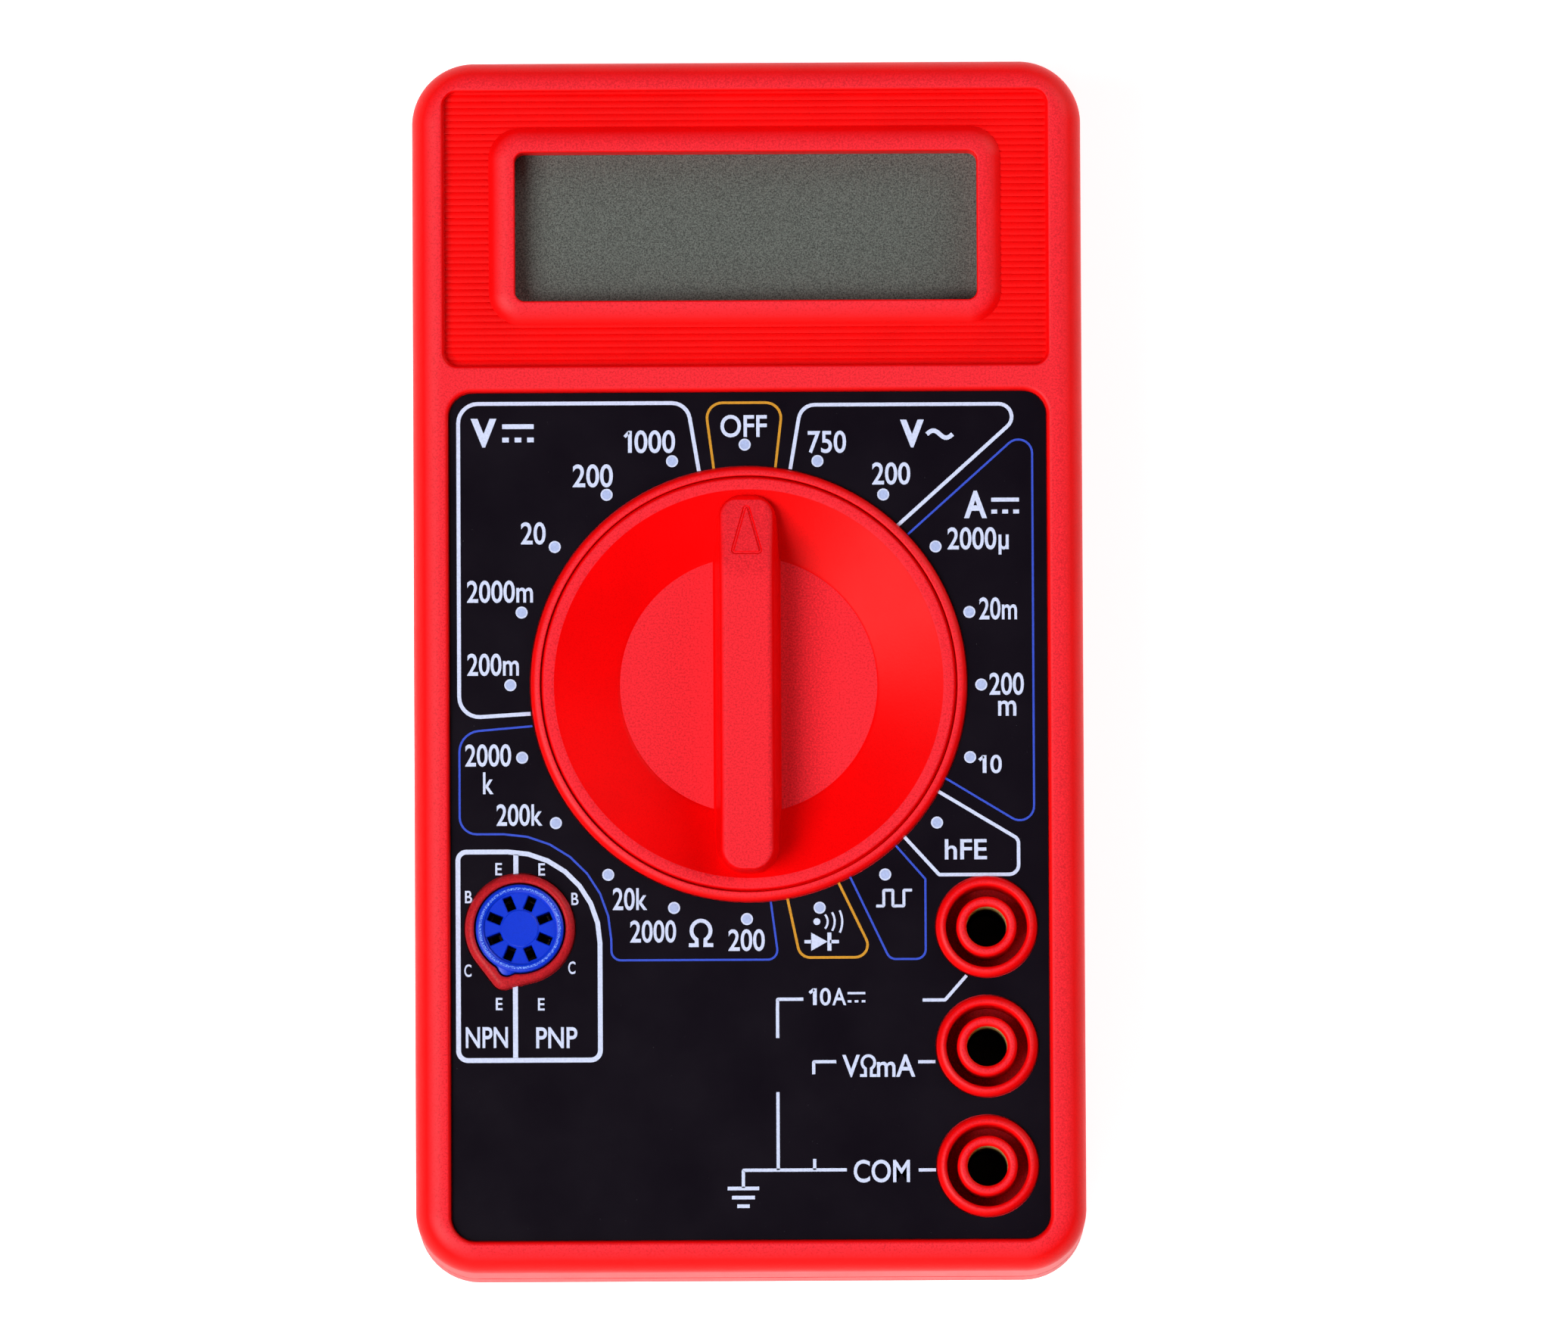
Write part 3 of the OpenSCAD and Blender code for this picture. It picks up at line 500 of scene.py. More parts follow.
def board_material():
    """Green solder mask over copper tracks, with tinned pads."""
    s = Shader("board_green")
    tracks = s.cells(3.2, "DISTANCE_TO_EDGE")
    line = s.remap(tracks, 1, 0, 0.05, 0.09)
    weave = s.math("MULTIPLY", s.bands(0.5, "X"), s.bands(0.5, "Y"))
    base = s.blend(line, (0.012, 0.125, 0.045), (0.045, 0.23, 0.07))
    pads = s.remap(s.cells(2.54, "F1"), 1, 0, 0.10, 0.13)
    base = s.blend(pads, base, (0.62, 0.62, 0.60))
    height = s.math("ADD", line, s.math("MULTIPLY", weave, 0.3))
    s.set(Base_Color=base, Roughness=s.remap(s.noise(2, 3), 0.28, 0.4),
          Metallic=s.math("MULTIPLY", pads, 0.8), Normal=s.bump(height, 0.03))
    return s.material


def banded_material(name, body, marks, pitch, direction, rough=0.4):
    """Lacquered part with painted bands."""
    s = Shader(name)
    wave = s.bands(pitch, direction)
    tone = s.noise(0.7, 3)
    base = s.blend(s.remap(tone, 0, 1, 0.3, 0.7), shade(body, 0.88), shade(body, 1.1))
    base = s.blend(s.remap(wave, 0, 1, 0.86, 0.90), base, marks)
    s.set(Base_Color=base, Roughness=s.remap(tone, rough - 0.05, rough + 0.08),
          Coat_Weight=0.4, Coat_Roughness=0.15, Normal=s.bump(tone, 0.03))
    return s.material


def glass_material(name, color, rough):
    """Clear glass with faint waviness."""
    s = Shader(name)
    wave = s.noise(5, 2)
    tint = s.blend(s.remap(wave, 0, 1, 0.3, 0.7), shade(color, 0.94), color)
    s.set(Base_Color=tint, Roughness=rough, IOR=1.5, Transmission_Weight=0.9, Normal=s.bump(wave, 0.004))
    return s.material


def striped_rubber():
    """Elastomer connector: pink silicone with a dark conductive core of fine layers."""
    s = Shader("zebra_rubber")
    layers = s.bands(0.18, "X")
    base = s.blend(s.remap(layers, 0, 1, 0.45, 0.55), (0.46, 0.22, 0.27), (0.03, 0.03, 0.032))
    s.set(Base_Color=base, Roughness=s.remap(s.noise(0.6, 3), 0.5, 0.7), Normal=s.bump(layers, 0.01))
    return s.material


def battery_material():
    """Printed steel can: dark jacket with a pale end band."""
    s = Shader("battery_can")
    low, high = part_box("battery")
    along = s.remap(s.axis("X"), 0, 1, low.x, high.x)
    band = s.math("GREATER_THAN", along, 0.72)
    cloud = s.noise(6, 4)
    base = s.blend(band, (0.035, 0.04, 0.055), (0.50, 0.36, 0.14))
    base = s.blend(s.remap(cloud, 0, 0.2, 0.3, 0.7), base, (0.2, 0.2, 0.21))
    s.set(Base_Color=base, Metallic=0.85, Roughness=s.remap(cloud, 0.24, 0.4, 0.3, 0.7),
          Normal=s.bump(cloud, 0.02))
    return s.material


def brass_material():
    """Turned brass near its mouth, painted darker further down the bore as painted shade."""
    s = metal("brass_painted_shade", (0.96, 0.70, 0.26), 0.22, 0.12, "Z")
    # Painted shade: the brass is darkened to near black further down the bore
    depth = s.remap(s.axis("Z"), 0, 1, (PLATE - 5.2) * MM, (PLATE - 2.4) * MM)
    base = s.bsdf.inputs["Base Color"].links[0].from_socket
    rough = s.bsdf.inputs["Roughness"].links[0].from_socket
    s.set(Metallic=0.35, Base_Color=s.blend(depth, (0.022, 0.009, 0.004), base),
          Roughness=s.math("ADD", rough, s.math("MULTIPLY", s.math("SUBTRACT", 1.0, depth), 0.35)))
    return s.material


brass = brass_material()
steel = metal("steel_zinc", (0.70, 0.70, 0.72), 0.30).material
nickel = metal("nickel_plate", (0.66, 0.64, 0.60), 0.26).material
dark_plastic = plastic("dark_plastic", (0.022, 0.022, 0.024), 0.5, 0.15, 0.006).material

NODE_MATERIALS = {
    "rear_cover": back_red,
    "front_label": label_material(),
    "lcd_polarizer": film_material(),
    "lcd_glass": glass_material("display_glass", (0.66, 0.74, 0.68), 0.08),
    "lcd_holder": dark_plastic,
    "zebra_strip": striped_rubber(),
    "circuit_board": board_material(),
    "case_screws": steel,
    "board_screws": steel,
    "slider_contacts": metal("contact_gold", (0.86, 0.62, 0.25), 0.24, 0.08, "X").material,
    "detent_springs": metal("spring_steel", (0.52, 0.52, 0.54), 0.30).material,
    "detent_ball_right": metal("ball_steel", (0.74, 0.74, 0.76), 0.14, vary=0.05, depth=0.0005).material,
    "detent_ball_left": None,
    "chip_blob": plastic("potting_epoxy", (0.006, 0.006, 0.007), 0.2, 1.2, 0.03, 0.2).material,
    "resistors": banded_material("resistor_lacquer", (0.60, 0.42, 0.22), (0.30, 0.03, 0.02), 1.5, "DIAGONAL"),
    "film_capacitors": plastic("dipped_epoxy", (0.42, 0.045, 0.02), 0.25, 0.9, 0.03, 0.15).material,
    "electrolytic_capacitor": banded_material(
        "shrink_sleeve", (0.012, 0.02, 0.06), (0.55, 0.55, 0.58), 7.0, "X"),
    "diodes": banded_material("diode_glass", (0.03, 0.03, 0.032), (0.6, 0.6, 0.6), 5.0, "Y"),
    "transistors": plastic("transistor_epoxy", (0.012, 0.012, 0.013), 0.5, 0.12, 0.008).material,
    "thermistor": plastic("thermistor_lacquer", (0.03, 0.14, 0.42), 0.25, 0.8, 0.02).material,
    "trimmer_base": plastic("trimmer_blue", (0.02, 0.11, 0.55), 0.4, 0.12, 0.006).material,
    "trimmer_rotor": plastic("trimmer_ivory", (0.78, 0.75, 0.65), 0.42, 0.12, 0.006).material,
    "jack_10a": brass,
    "jack_volt": brass,
    "jack_common": brass,
    "shunt_wire": metal("shunt_manganin", (0.52, 0.34, 0.17), 0.34, 0.3, "Y").material,
    "hfe_contacts": metal("socket_contacts", (0.16, 0.11, 0.05), 0.45).material,
    "fuse_glass": glass_material("fuse_glass", (0.93, 0.97, 0.98), 0.02),
    "fuse_caps": nickel,
    "fuse_clips": nickel,
    "buzzer_disc": metal("buzzer_brass", (0.78, 0.56, 0.22), 0.3).material,
    "buzzer_ceramic": plastic("silvered_ceramic", (0.72, 0.70, 0.64), 0.45, 0.1, 0.004).material,
    "buzzer_leads": plastic("lead_grey", (0.05, 0.05, 0.052), 0.45, 0.3, 0.004).material,
    "battery": battery_material(),
    "battery_terminals": nickel,
    "snap_cover": plastic("snap_vinyl", (0.016, 0.016, 0.017), 0.55, 0.25, 0.01).material,
    "snap_studs": nickel,
    "lead_positive": plastic("lead_red", (0.58, 0.015, 0.015), 0.42, 0.3, 0.004).material,
    "lead_negative": plastic("lead_black", (0.014, 0.014, 0.015), 0.42, 0.3, 0.004).material,
}
NODE_MATERIALS["detent_ball_left"] = NODE_MATERIALS["detent_ball_right"]

for name, material in NODE_MATERIALS.items():
    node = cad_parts[name]
    node.data.materials.clear()
    node.data.materials.append(material)


# ---- Front shell ----

field_w = CASE_W - 2 * BORDER_SIDE
label_mid_y = (label_low.y + label_high.y) / 2
label_len = label_high.y - label_low.y + 0.2
grip_mid_y = (GRIP_LOW + GRIP_TOP) / 2
hole_r = 21.8
GROOVE_FLOOR = PLATE_LOW - 4
knob_low = PLATE_LOW - 4.5


def recess_cutter(outline, lip):
    """Recess whose upper edge flares out in a small rounding."""
    flare = [(-d, z) for d, z in arc(lip, CASE_H - lip, -lip, 0, -90)]
    return stack(outline, [(0.2, PLATE), (0.0, PLATE + 0.2)] + flare + [(-lip, CASE_H + 1)])


def hole_cutter(outline, low, lip):
    flare = [(-d, z) for d, z in arc(lip, CASE_H - lip, -lip, 0, -90)]
    return stack(outline, [(0.0, low)] + flare + [(-lip, CASE_H + 1)])


def ribs():
    """Comb of half-round grip ribs."""
    count = int((GRIP_TOP - GRIP_LOW) / RIB_PITCH)
    outline = [(GRIP_LOW - 0.2, PLATE - 0.6), (GRIP_LOW - 0.2, PLATE - 0.05)]
    for i in range(count):
        y = GRIP_LOW + (i + 0.5) * RIB_PITCH
        outline += [(y - x, PLATE + 0.3 * z) for x, z in arc(0, 0, 0.335, 0, 180, 8)]
    outline += [(GRIP_TOP + 0.2, PLATE - 0.05), (GRIP_TOP + 0.2, PLATE - 0.6)]
    reach = field_w / 2 + 0.6
    return loft([[(x, y, z) for y, z in outline] for x in (-reach, reach)])


def detent_ring():
    """Ring under the front plate, with one notch for each of the twenty positions."""
    low, crest, notch_r, centre_r = knob_low, 23.6, 1.6, 22.45
    inner, outer = [], []
    for k in range(480):
        a = 2 * math.pi * (k + 0.5) / 480
        off = (a + math.pi / 20) % (math.pi / 10) - math.pi / 20
        under = notch_r ** 2 - (centre_r * math.sin(off)) ** 2
        r = crest if under < 0 else max(crest, centre_r * math.cos(off) + math.sqrt(under))
        inner.append((r * math.cos(a) + knob_mid.x, r * math.sin(a) + knob_mid.y))
        outer.append((25.4 * math.cos(a) + knob_mid.x, 25.4 * math.sin(a) + knob_mid.y))
    high = PLATE_LOW + 0.3
    rings = [(outer, low), (outer, high), (inner, high), (inner, low)]
    return loft([[(x, y, z) for x, y in ring] for ring, z in rings], loop=True)


def jack_cutter(x, y):
    """Bore, rounded sleeve top and the ring-shaped groove for a shrouded plug."""
    crown = arc(2.625, CASE_H - 0.925, 0.525, 180, 0, 8)
    edge = [(9 - r, z) for r, z in arc(4.25, CASE_H - 0.5, 0.5, 0, 90)]
    profile = [(2.6, SPLIT - 5), (2.6, PLATE - 0.2), (2.1, PLATE - 0.2)] + crown
    profile += [(3.15, GROOVE_FLOOR), (4.25, GROOVE_FLOOR)] + edge + [(4.75, CASE_H + 1)]
    return lathe(profile, x, y, 72)


# The opening, its frame and the ribbed field reach a little further to the left and up
SHIFT_X, SHIFT_Y = -0.08, 0.20
case_outline = block(CASE_W, CASE_L, 6.5, count=96)
shell_profile = [(0.3, SPLIT), (0.08, SPLIT + 0.08), (0, SPLIT + 0.3)]
shell_profile += [(0, CASE_H - EDGE_R - 4), (0, CASE_H - EDGE_R)]
shell_profile += [(EDGE_R - d, z) for d, z in arc(0, CASE_H - EDGE_R, EDGE_R, 0, 90, 14)][1:]
front = solid("front_shell", stack(case_outline, shell_profile))
combine(front, [
    stack(block(CASE_W - 4, CASE_L - 4, 4.5), [(0, SPLIT - 1), (0, PLATE_LOW)]),
    recess_cutter(block(field_w, label_len, 2.6, 0, label_mid_y), LIP),
    recess_cutter(block(field_w + 0.54, GRIP_TOP - GRIP_LOW, 1.4, SHIFT_X - 0.09, grip_mid_y), 0.4),
], "DIFFERENCE")
combine(front, [ribs()], "UNION")

bezel_outline = block(WINDOW[0] + 2 * BEZEL + 0.8, WINDOW[1] + 2 * BEZEL + 0.7, WINDOW[2] + BEZEL,
                      SHIFT_X - 0.12, glass_mid.y + SHIFT_Y + 0.15)
bezel_profile = [(0, PLATE - 0.5), (0, PLATE + 0.02)]
bezel_profile += [(BEZEL - d, z) for d, z in arc(0, CASE_H - 3.2, 3.2, 41.5, 90, 10)]
KEY_TURN = math.radians(-109)
tip = (hfe_mid.x + 5.35 * math.cos(KEY_TURN), hfe_mid.y + 5.35 * math.sin(KEY_TURN), 1.3)
hfe_ring = hull([(hfe_mid.x, hfe_mid.y, 5.75), tip], 96)
rim = [(0.8 - 0.89 * d, z) for d, z in arc(0, CASE_H - 0.9, 0.9, 0, 90)]
case_screws = [(-28.6, -14.0), (28.6, -14.0)]
board_screws = [(-30.3, 28.5), (30.3, 28.5), (-30.3, 3.0), (30.8, -33.7)]
collar = [(20, PLATE_LOW + 0.5), (22.8, PLATE_LOW + 0.5)]
collar += [(21.95 + d, z) for d, z in arc(0, CASE_H - 0.85, 0.85, 0, 90, 9)] + [(20, CASE_H)]
raised = [
    stack(bezel_outline, bezel_profile),
    lathe(collar, knob_mid.x, knob_mid.y, 180, loop=True),
    stack(hfe_ring, [(0, PLATE_LOW + 0.5), (0, PLATE + 0.4)] + rim),
]
shroud = [(4.7, 15.0), (4.7, PLATE_LOW + 0.6), (5.3, PLATE_LOW + 0.6)]
shroud += [(4.4 + 0.9 * d, z) for d, z in arc(0, CASE_H - 1.0, 1.0, 0, 90, 9)]
raised += [lathe(shroud, jack.x, jack.y, 72) for jack in JACKS]
for x, y in case_screws:
    raised.append(lathe([(2.9, SPLIT), (2.9, PLATE_LOW + 0.5)], x, y, 48))
for x, y in board_screws:
    raised.append(lathe([(2.1, 14.8), (2.1, PLATE_LOW + 0.5)], x, y, 32))
combine(front, raised, "UNION")
combine(front, [detent_ring()], "UNION")


def socket_hole(grow, count=180):
    """Round outline with a small rounded key, grown by a clearance."""
    key_half, key_reach = math.radians(13.5), 0.52

    def outline(inset=0.0):
        points = []
        for k in range(count):
            off = math.pi * (2 * (k + 0.5) / count - 1)
            rise = max(0.0, 1 - (off / key_half) ** 2) ** 1.5
            r = 4.66 + key_reach * rise + grow - inset
            turn = off + KEY_TURN
            points.append((hfe_mid.x + r * math.cos(turn), hfe_mid.y + r * math.sin(turn)))
        return points
    return outline


window_outline = block(WINDOW[0] + 0.32, WINDOW[1] + 0.4, WINDOW[2], SHIFT_X, glass_mid.y + SHIFT_Y)
openings = [
    hole_cutter(window_outline, PLATE_LOW - 1, 0.25),
    hole_cutter(disc(hole_r, knob_mid.x, knob_mid.y, 180), PLATE_LOW - 1, 0.12),
    hole_cutter(socket_hole(0.12), PLATE_LOW - 1, 0.3),
]
openings += [jack_cutter(jack.x, jack.y) for jack in JACKS]
for side in (-1, 1):
    snap_groove = block(9, 1.6, 0.05, side * 18, CASE_L / 2 - 2.2, 16)
    openings.append(stack(snap_groove, [(0, SPLIT + 1.2), (0, SPLIT + 2.6)]))
openings += [lathe([(1.3, SPLIT - 1), (1.3, SPLIT + 8)], x, y, 32) for x, y in case_screws]
openings += [lathe([(0.95, 13.8), (0.95, 19.8)], x, y, 24) for x, y in board_screws]
combine(front, openings, "DIFFERENCE")
place(front, "meter", case_red, ["front_case"])


# ---- Range knob ----

BAR_TOP = top("rotary_knob") - 0.002
SLOPE_START = 11.8
SLOPE = math.tan(math.radians(24))
BAR_X = -0.15
kx, ky = knob_mid.x, knob_mid.y
flange_top = PLATE_LOW - 0.3
flange_mid = (flange_top + knob_low) / 2

# Half section of the knob: hub and underside, flange, wall, crown, then the dish
knob_profile = [(3.0, 12.4), (3.0, knob_low), (5.0, knob_low), (5.0, DISH - 1.6), (13.4, DISH - 1.6),
                (19.5, flange_top - 0.2), (19.5, knob_low)]
knob_profile += [(22.9, knob_low), (23.1, knob_low + 0.2), (23.1, flange_top - 0.2), (22.9, flange_top)]
knob_profile += [(21.73, flange_top), (21.73, CASE_H - 0.62), (21.64, CASE_H - 0.54), (21.64, CASE_H - 0.5)]
knob_profile += [(21.14 + d, z) for d, z in arc(0, CASE_H - 0.5, 0.5, 0, 72, 8)]
knob_profile += [(20.85, CASE_H - 0.015), (20.5, CASE_H - 0.08), (20.1, CASE_H - 0.22)]
knob_profile += [(13.85, DISH + 0.13), (13.55, DISH + 0.06), (13.48, DISH), (4.0, DISH)]
knob = solid("range_knob", lathe(knob_profile, kx, ky, 180))


def bar_shape():
    """Handle bar: sides that lean in, a rounded top edge, and a top that falls away at the pointer end."""
    half_w, half_l, corner = 3.4, 20.0, 2.9
    base = block(2 * half_w, 2 * half_l, corner)
    reach = half_l - corner
    cuts = [-reach + 2 * reach * k / 24 for k in range(1, 24)]

    def ring_at(d):
        points = base(d)
        right = [(half_w - d, y) for y in cuts]
        left = [(d - half_w, y) for y in reversed(cuts)]
        low_right = [p for p in points[:32] if p[1] < 0]
        low_left = [p for p in points[32:] if p[1] < 0]
        return low_right + right + [p for p in points if p[1] > 0] + left + low_left

    lean, r = 0.55, 0.85
    side_top = BAR_TOP - r
    profile = [(-0.05, DISH - 0.5), (-0.15, DISH), (-0.03, DISH + 0.15), (0.05, DISH + 0.4),
               (lean, side_top)]
    profile += [(lean + r - d, z) for d, z in arc(0, side_top, r, 0, 90, 7)][1:]
    rings = []
    for d, z in profile:
        ring = []
        stretch = (half_l - 0.4 * max(d, 0)) / (half_l - max(d, 0))
        for x, y in ring_at(d):
            y *= stretch
            drop = max(0.0, y - SLOPE_START) * SLOPE
            lift = max(0.0, (z - DISH) / (BAR_TOP - DISH))
            ring.append((kx + BAR_X + x, ky + y, z - drop * lift))
        rings.append(ring)
    n = len(rings[0])
    verts, faces = loft(rings)
    faces.pop()
    last = (len(rings) - 1) * n
    faces += [(last + k, last + k + 1, last + n - 2 - k, last + n - 1 - k) for k in range(n // 2 - 1)]
    return verts, faces


def pointer_groove():
    """Engraved triangle with sloping walls, cut square to the sloping top."""
    path = fillet_path([(0, 19.1, 0.22), (-1.52, 13.5, 0.25), (1.52, 13.5, 0.25)], True)
    section = ((0.06, 0.17), (0.19, -0.01), (0.19, -1), (-0.19, -1), (-0.19, -0.01), (-0.06, 0.17))
    n = len(path)
    rings = []
    for i in range(n):
        here = Vector(path[i])
        along = (Vector(path[(i + 1) % n]) - Vector(path[i - 1])).normalized()
        side = Vector((-along.y, along.x))
        ring = []
        for reach, depth in section:
            spot = here + side * reach
            surface = BAR_TOP - (spot.y - SLOPE_START) * SLOPE
            ring.append((kx + BAR_X + spot.x, ky + spot.y, surface - depth))
        rings.append(ring)
    return loft(rings, loop=True)


def spring_bore(side, r=1.45, count=32):
    """Bore through the rim towards one side, for a detent spring and its ball."""
    turns = [2 * math.pi * k / count for k in range(count)]
    near = [(kx + side * 12, ky + r * math.cos(a), flange_mid + r * math.sin(a)) for a in turns]
    return loft([near, [(kx + side * 26, y, z) for _, y, z in near]])


spring_block = stack(block(42.6, 6, 0.3, kx, ky), [(0, knob_low), (0, flange_mid + 2.1)])
contact_arm = stack(block(11, 40.2, 0.3, kx, ky), [(0, knob_low + 0.01), (0, DISH - 1.4)])
combine(knob, [spring_block], "UNION")
combine(knob, [contact_arm], "UNION")
combine(knob, [bar_shape()], "UNION")
combine(knob, [pointer_groove(), spring_bore(1), spring_bore(-1)], "DIFFERENCE")
tidy(knob)
place(knob, "knob", knob_material(), ["rotary_knob"])


# ---- Transistor socket ----

hx, hy = hfe_mid.x, hfe_mid.y
body_top = CASE_H - 0.3
socket_profile = [(0, 14.8), (0, body_top - 0.25), (0.08, body_top - 0.08), (0.25, body_top)]
socket = solid("transistor_socket", stack(socket_hole(0), socket_profile))
socket_rim = [(3.74, body_top - 0.3), (4.56, body_top - 0.3), (4.56, body_top + 0.12)]
for a in range(15, 166, 25):
    socket_rim.append((4.15 + 0.41 * math.cos(math.radians(a)),
                       body_top + 0.08 + 0.22 * math.sin(math.radians(a))))
socket_rim.append((3.74, body_top + 0.1))
combine(socket, [lathe(socket_rim, hx, hy, 72, loop=True)], "UNION")
socket_boss = [(1.92, body_top - 0.3), (1.92, body_top + 0.04), (1.84, body_top + 0.1)]
combine(socket, [lathe(socket_boss, hx, hy, 48)], "UNION")
def slot_cutter(turn):
    """One rectangular leg slot, with a small flare at its mouth."""
    out_x, out_y = math.cos(turn), math.sin(turn)
    x0, y0 = hx + 2.8 * out_x, hy + 2.8 * out_y
    outline = block(1.5, 0.95, 0.08, count=16)

    def ring(d, z):
        return [(x0 + x * out_x - y * out_y, y0 + x * out_y + y * out_x, z) for x, y in outline(d)]
    return loft([ring(0, 13), ring(0, body_top - 0.12), ring(-0.1, body_top), ring(-0.1, CASE_H + 1)])


slots = [slot_cutter(math.radians(22.5 + 45 * i)) for i in range(8)]
combine(socket, slots, "DIFFERENCE")
place(socket, "meter", socket_material(), ["hfe_socket"])


# ---- Printed legends ----

INK_LOW = LABEL_TOP - 0.02
INK_TOP = LABEL_TOP + 0.02


def letters(text, x, y, w, h, bold=0.014):
    """Text scaled to a width and a capital height about a point."""
    curve = bpy.data.curves.new("text", "FONT")
    curve.body = text
    curve.resolution_u = 6
    curve.offset = bold
    curve.extrude = 0.1
    obj = bpy.data.objects.new("text", curve)
    scene.collection.objects.link(obj)
    mesh = bpy.data.meshes.new_from_object(obj.evaluated_get(bpy.context.evaluated_depsgraph_get()))
    bpy.data.objects.remove(obj)
    points = [v.co.copy() for v in mesh.vertices]
    faces = [tuple(p.vertices) for p in mesh.polygons]
    bpy.data.meshes.remove(mesh)
    low_x, high_x = min(p.x for p in points), max(p.x for p in points)
    cap = (0.46 if text == "m" else 0.684) + 2 * bold
    wide, tall = w / (high_x - low_x), h / cap
    verts = [(x + (p.x - (low_x + high_x) / 2) * wide, y + (p.y + bold - cap / 2) * tall,
              INK_TOP if p.z > 0 else INK_LOW) for p in points]
    return verts, faces


def line(corners, width, closed=False):
    return ribbon(fillet_path(corners, closed), width, INK_LOW, INK_TOP, closed)


def plate(points):
    return loft([[(x, y, z) for x, y in points] for z in (INK_LOW, INK_TOP)])


def dot(x, y, r, lift=0.0):
    return lathe([(r, INK_LOW + lift), (r, INK_TOP + lift)], x, y, 28)


def direct_sign(x, y_line, y_dots, w, t):
    """Line over three dashes."""
    parts = [line([(x - w / 2, y_line), (x + w / 2, y_line)], t)]
    dash = w * 0.21
    for k in (-1, 0, 1):
        cx = x + k * (w - dash) / 2
        parts.append(line([(cx - dash / 2, y_dots), (cx + dash / 2, y_dots)], t))
    return parts


def ohm_sign(x, y, w, h, t):
    """Open ring on two feet."""
    r = (w - t) / 2 * 0.92
    ring_y = y + h / 2 - t / 2 - r
    foot_y = y - h / 2 + t / 2
    points = [(x - w / 2, foot_y), (x - r * 0.45, foot_y)]
    for k in range(25):
        a = math.radians(242 - 304 * k / 24)
        points.append((x + r * math.cos(a), ring_y + r * math.sin(a) * 1.06))
    points += [(x + r * 0.45, foot_y), (x + w / 2, foot_y)]
    return ribbon(points, t, INK_LOW, INK_TOP)


def wave_sign(x, y, w, t):
    points = [(x + w * (k / 16 - 0.5), y + 0.38 * math.sin(2 * math.pi * k / 16)) for k in range(17)]
    return ribbon(points, t, INK_LOW, INK_TOP)


# Each "1" as (x, y, height), drawn as strokes
ONES = [(-12.3, 23.45, 2.3), (24.6, -10.5, 1.85), (6.75, -34.75, 1.75)]

# Text, centre x and y, width, capital height, extra weight
TEXTS = [
    ("V", -27.6, 24.45, 2.7, 3.0, 0.045), ("000", -9.7, 23.45, 4.25, 2.35), ("200", -16.2, 19.9, 4.2, 2.37),
    ("20", -22.45, 13.9, 2.6, 2.3), ("2000m", -25.95, 7.8, 6.9, 2.3), ("200m", -26.7, 0.15, 5.4, 2.3),
    ("OFF", -0.4, 25.05, 4.85, 2.3),
    ("750", 8.3, 23.35, 4.0, 2.3), ("V", 17.2, 24.2, 2.5, 2.9, 0.045), ("200", 15.0, 20.0, 4.0, 2.3),
    ("A", 23.8, 16.7, 2.4, 2.87, 0.03), ("2000µ", 24.05, 13.15, 6.4, 2.3), ("20m", 26.1, 5.8, 3.95, 2.3),
    ("200", 26.95, -2.1, 3.6, 2.3), ("m", 27.0, -4.65, 1.9, 1.6), ("0", 25.8, -10.5, 1.2, 1.9),
    ("hFE", 22.6, -19.4, 4.4, 2.13),
    ("2000", -27.25, -9.35, 4.8, 2.3), ("k", -27.25, -12.25, 1.1, 2.3), ("200k", -24.0, -15.6, 4.8, 2.25),
    ("20k", -12.5, -24.45, 3.6, 2.3), ("2000", -10.1, -27.85, 4.8, 2.3), ("200", -0.35, -28.8, 3.8, 2.25),
    ("NPN", -27.5, -38.85, 4.4, 2.2), ("PNP", -20.2, -38.9, 4.3, 2.2),
    ("E", -26.2, -21.25, 0.7, 1.3), ("E", -21.7, -21.3, 0.7, 1.3), ("B", -29.35, -24.15, 0.75, 1.3),
    ("B", -18.25, -24.4, 0.75, 1.3), ("C", -29.45, -31.85, 0.75, 1.3), ("C", -18.6, -31.6, 0.75, 1.3),
    ("E", -26.2, -35.35, 0.7, 1.3), ("E", -21.8, -35.4, 0.7, 1.3),
    ("0", 7.85, -34.75, 1.15, 1.8), ("A", 9.3, -34.75, 1.45, 1.8), ("V", 10.5, -42.0, 1.85, 2.33),
    ("mA", 15.2, -42.0, 4.0, 2.33),
    ("COM", 13.65, -53.0, 5.87, 2.33),
]

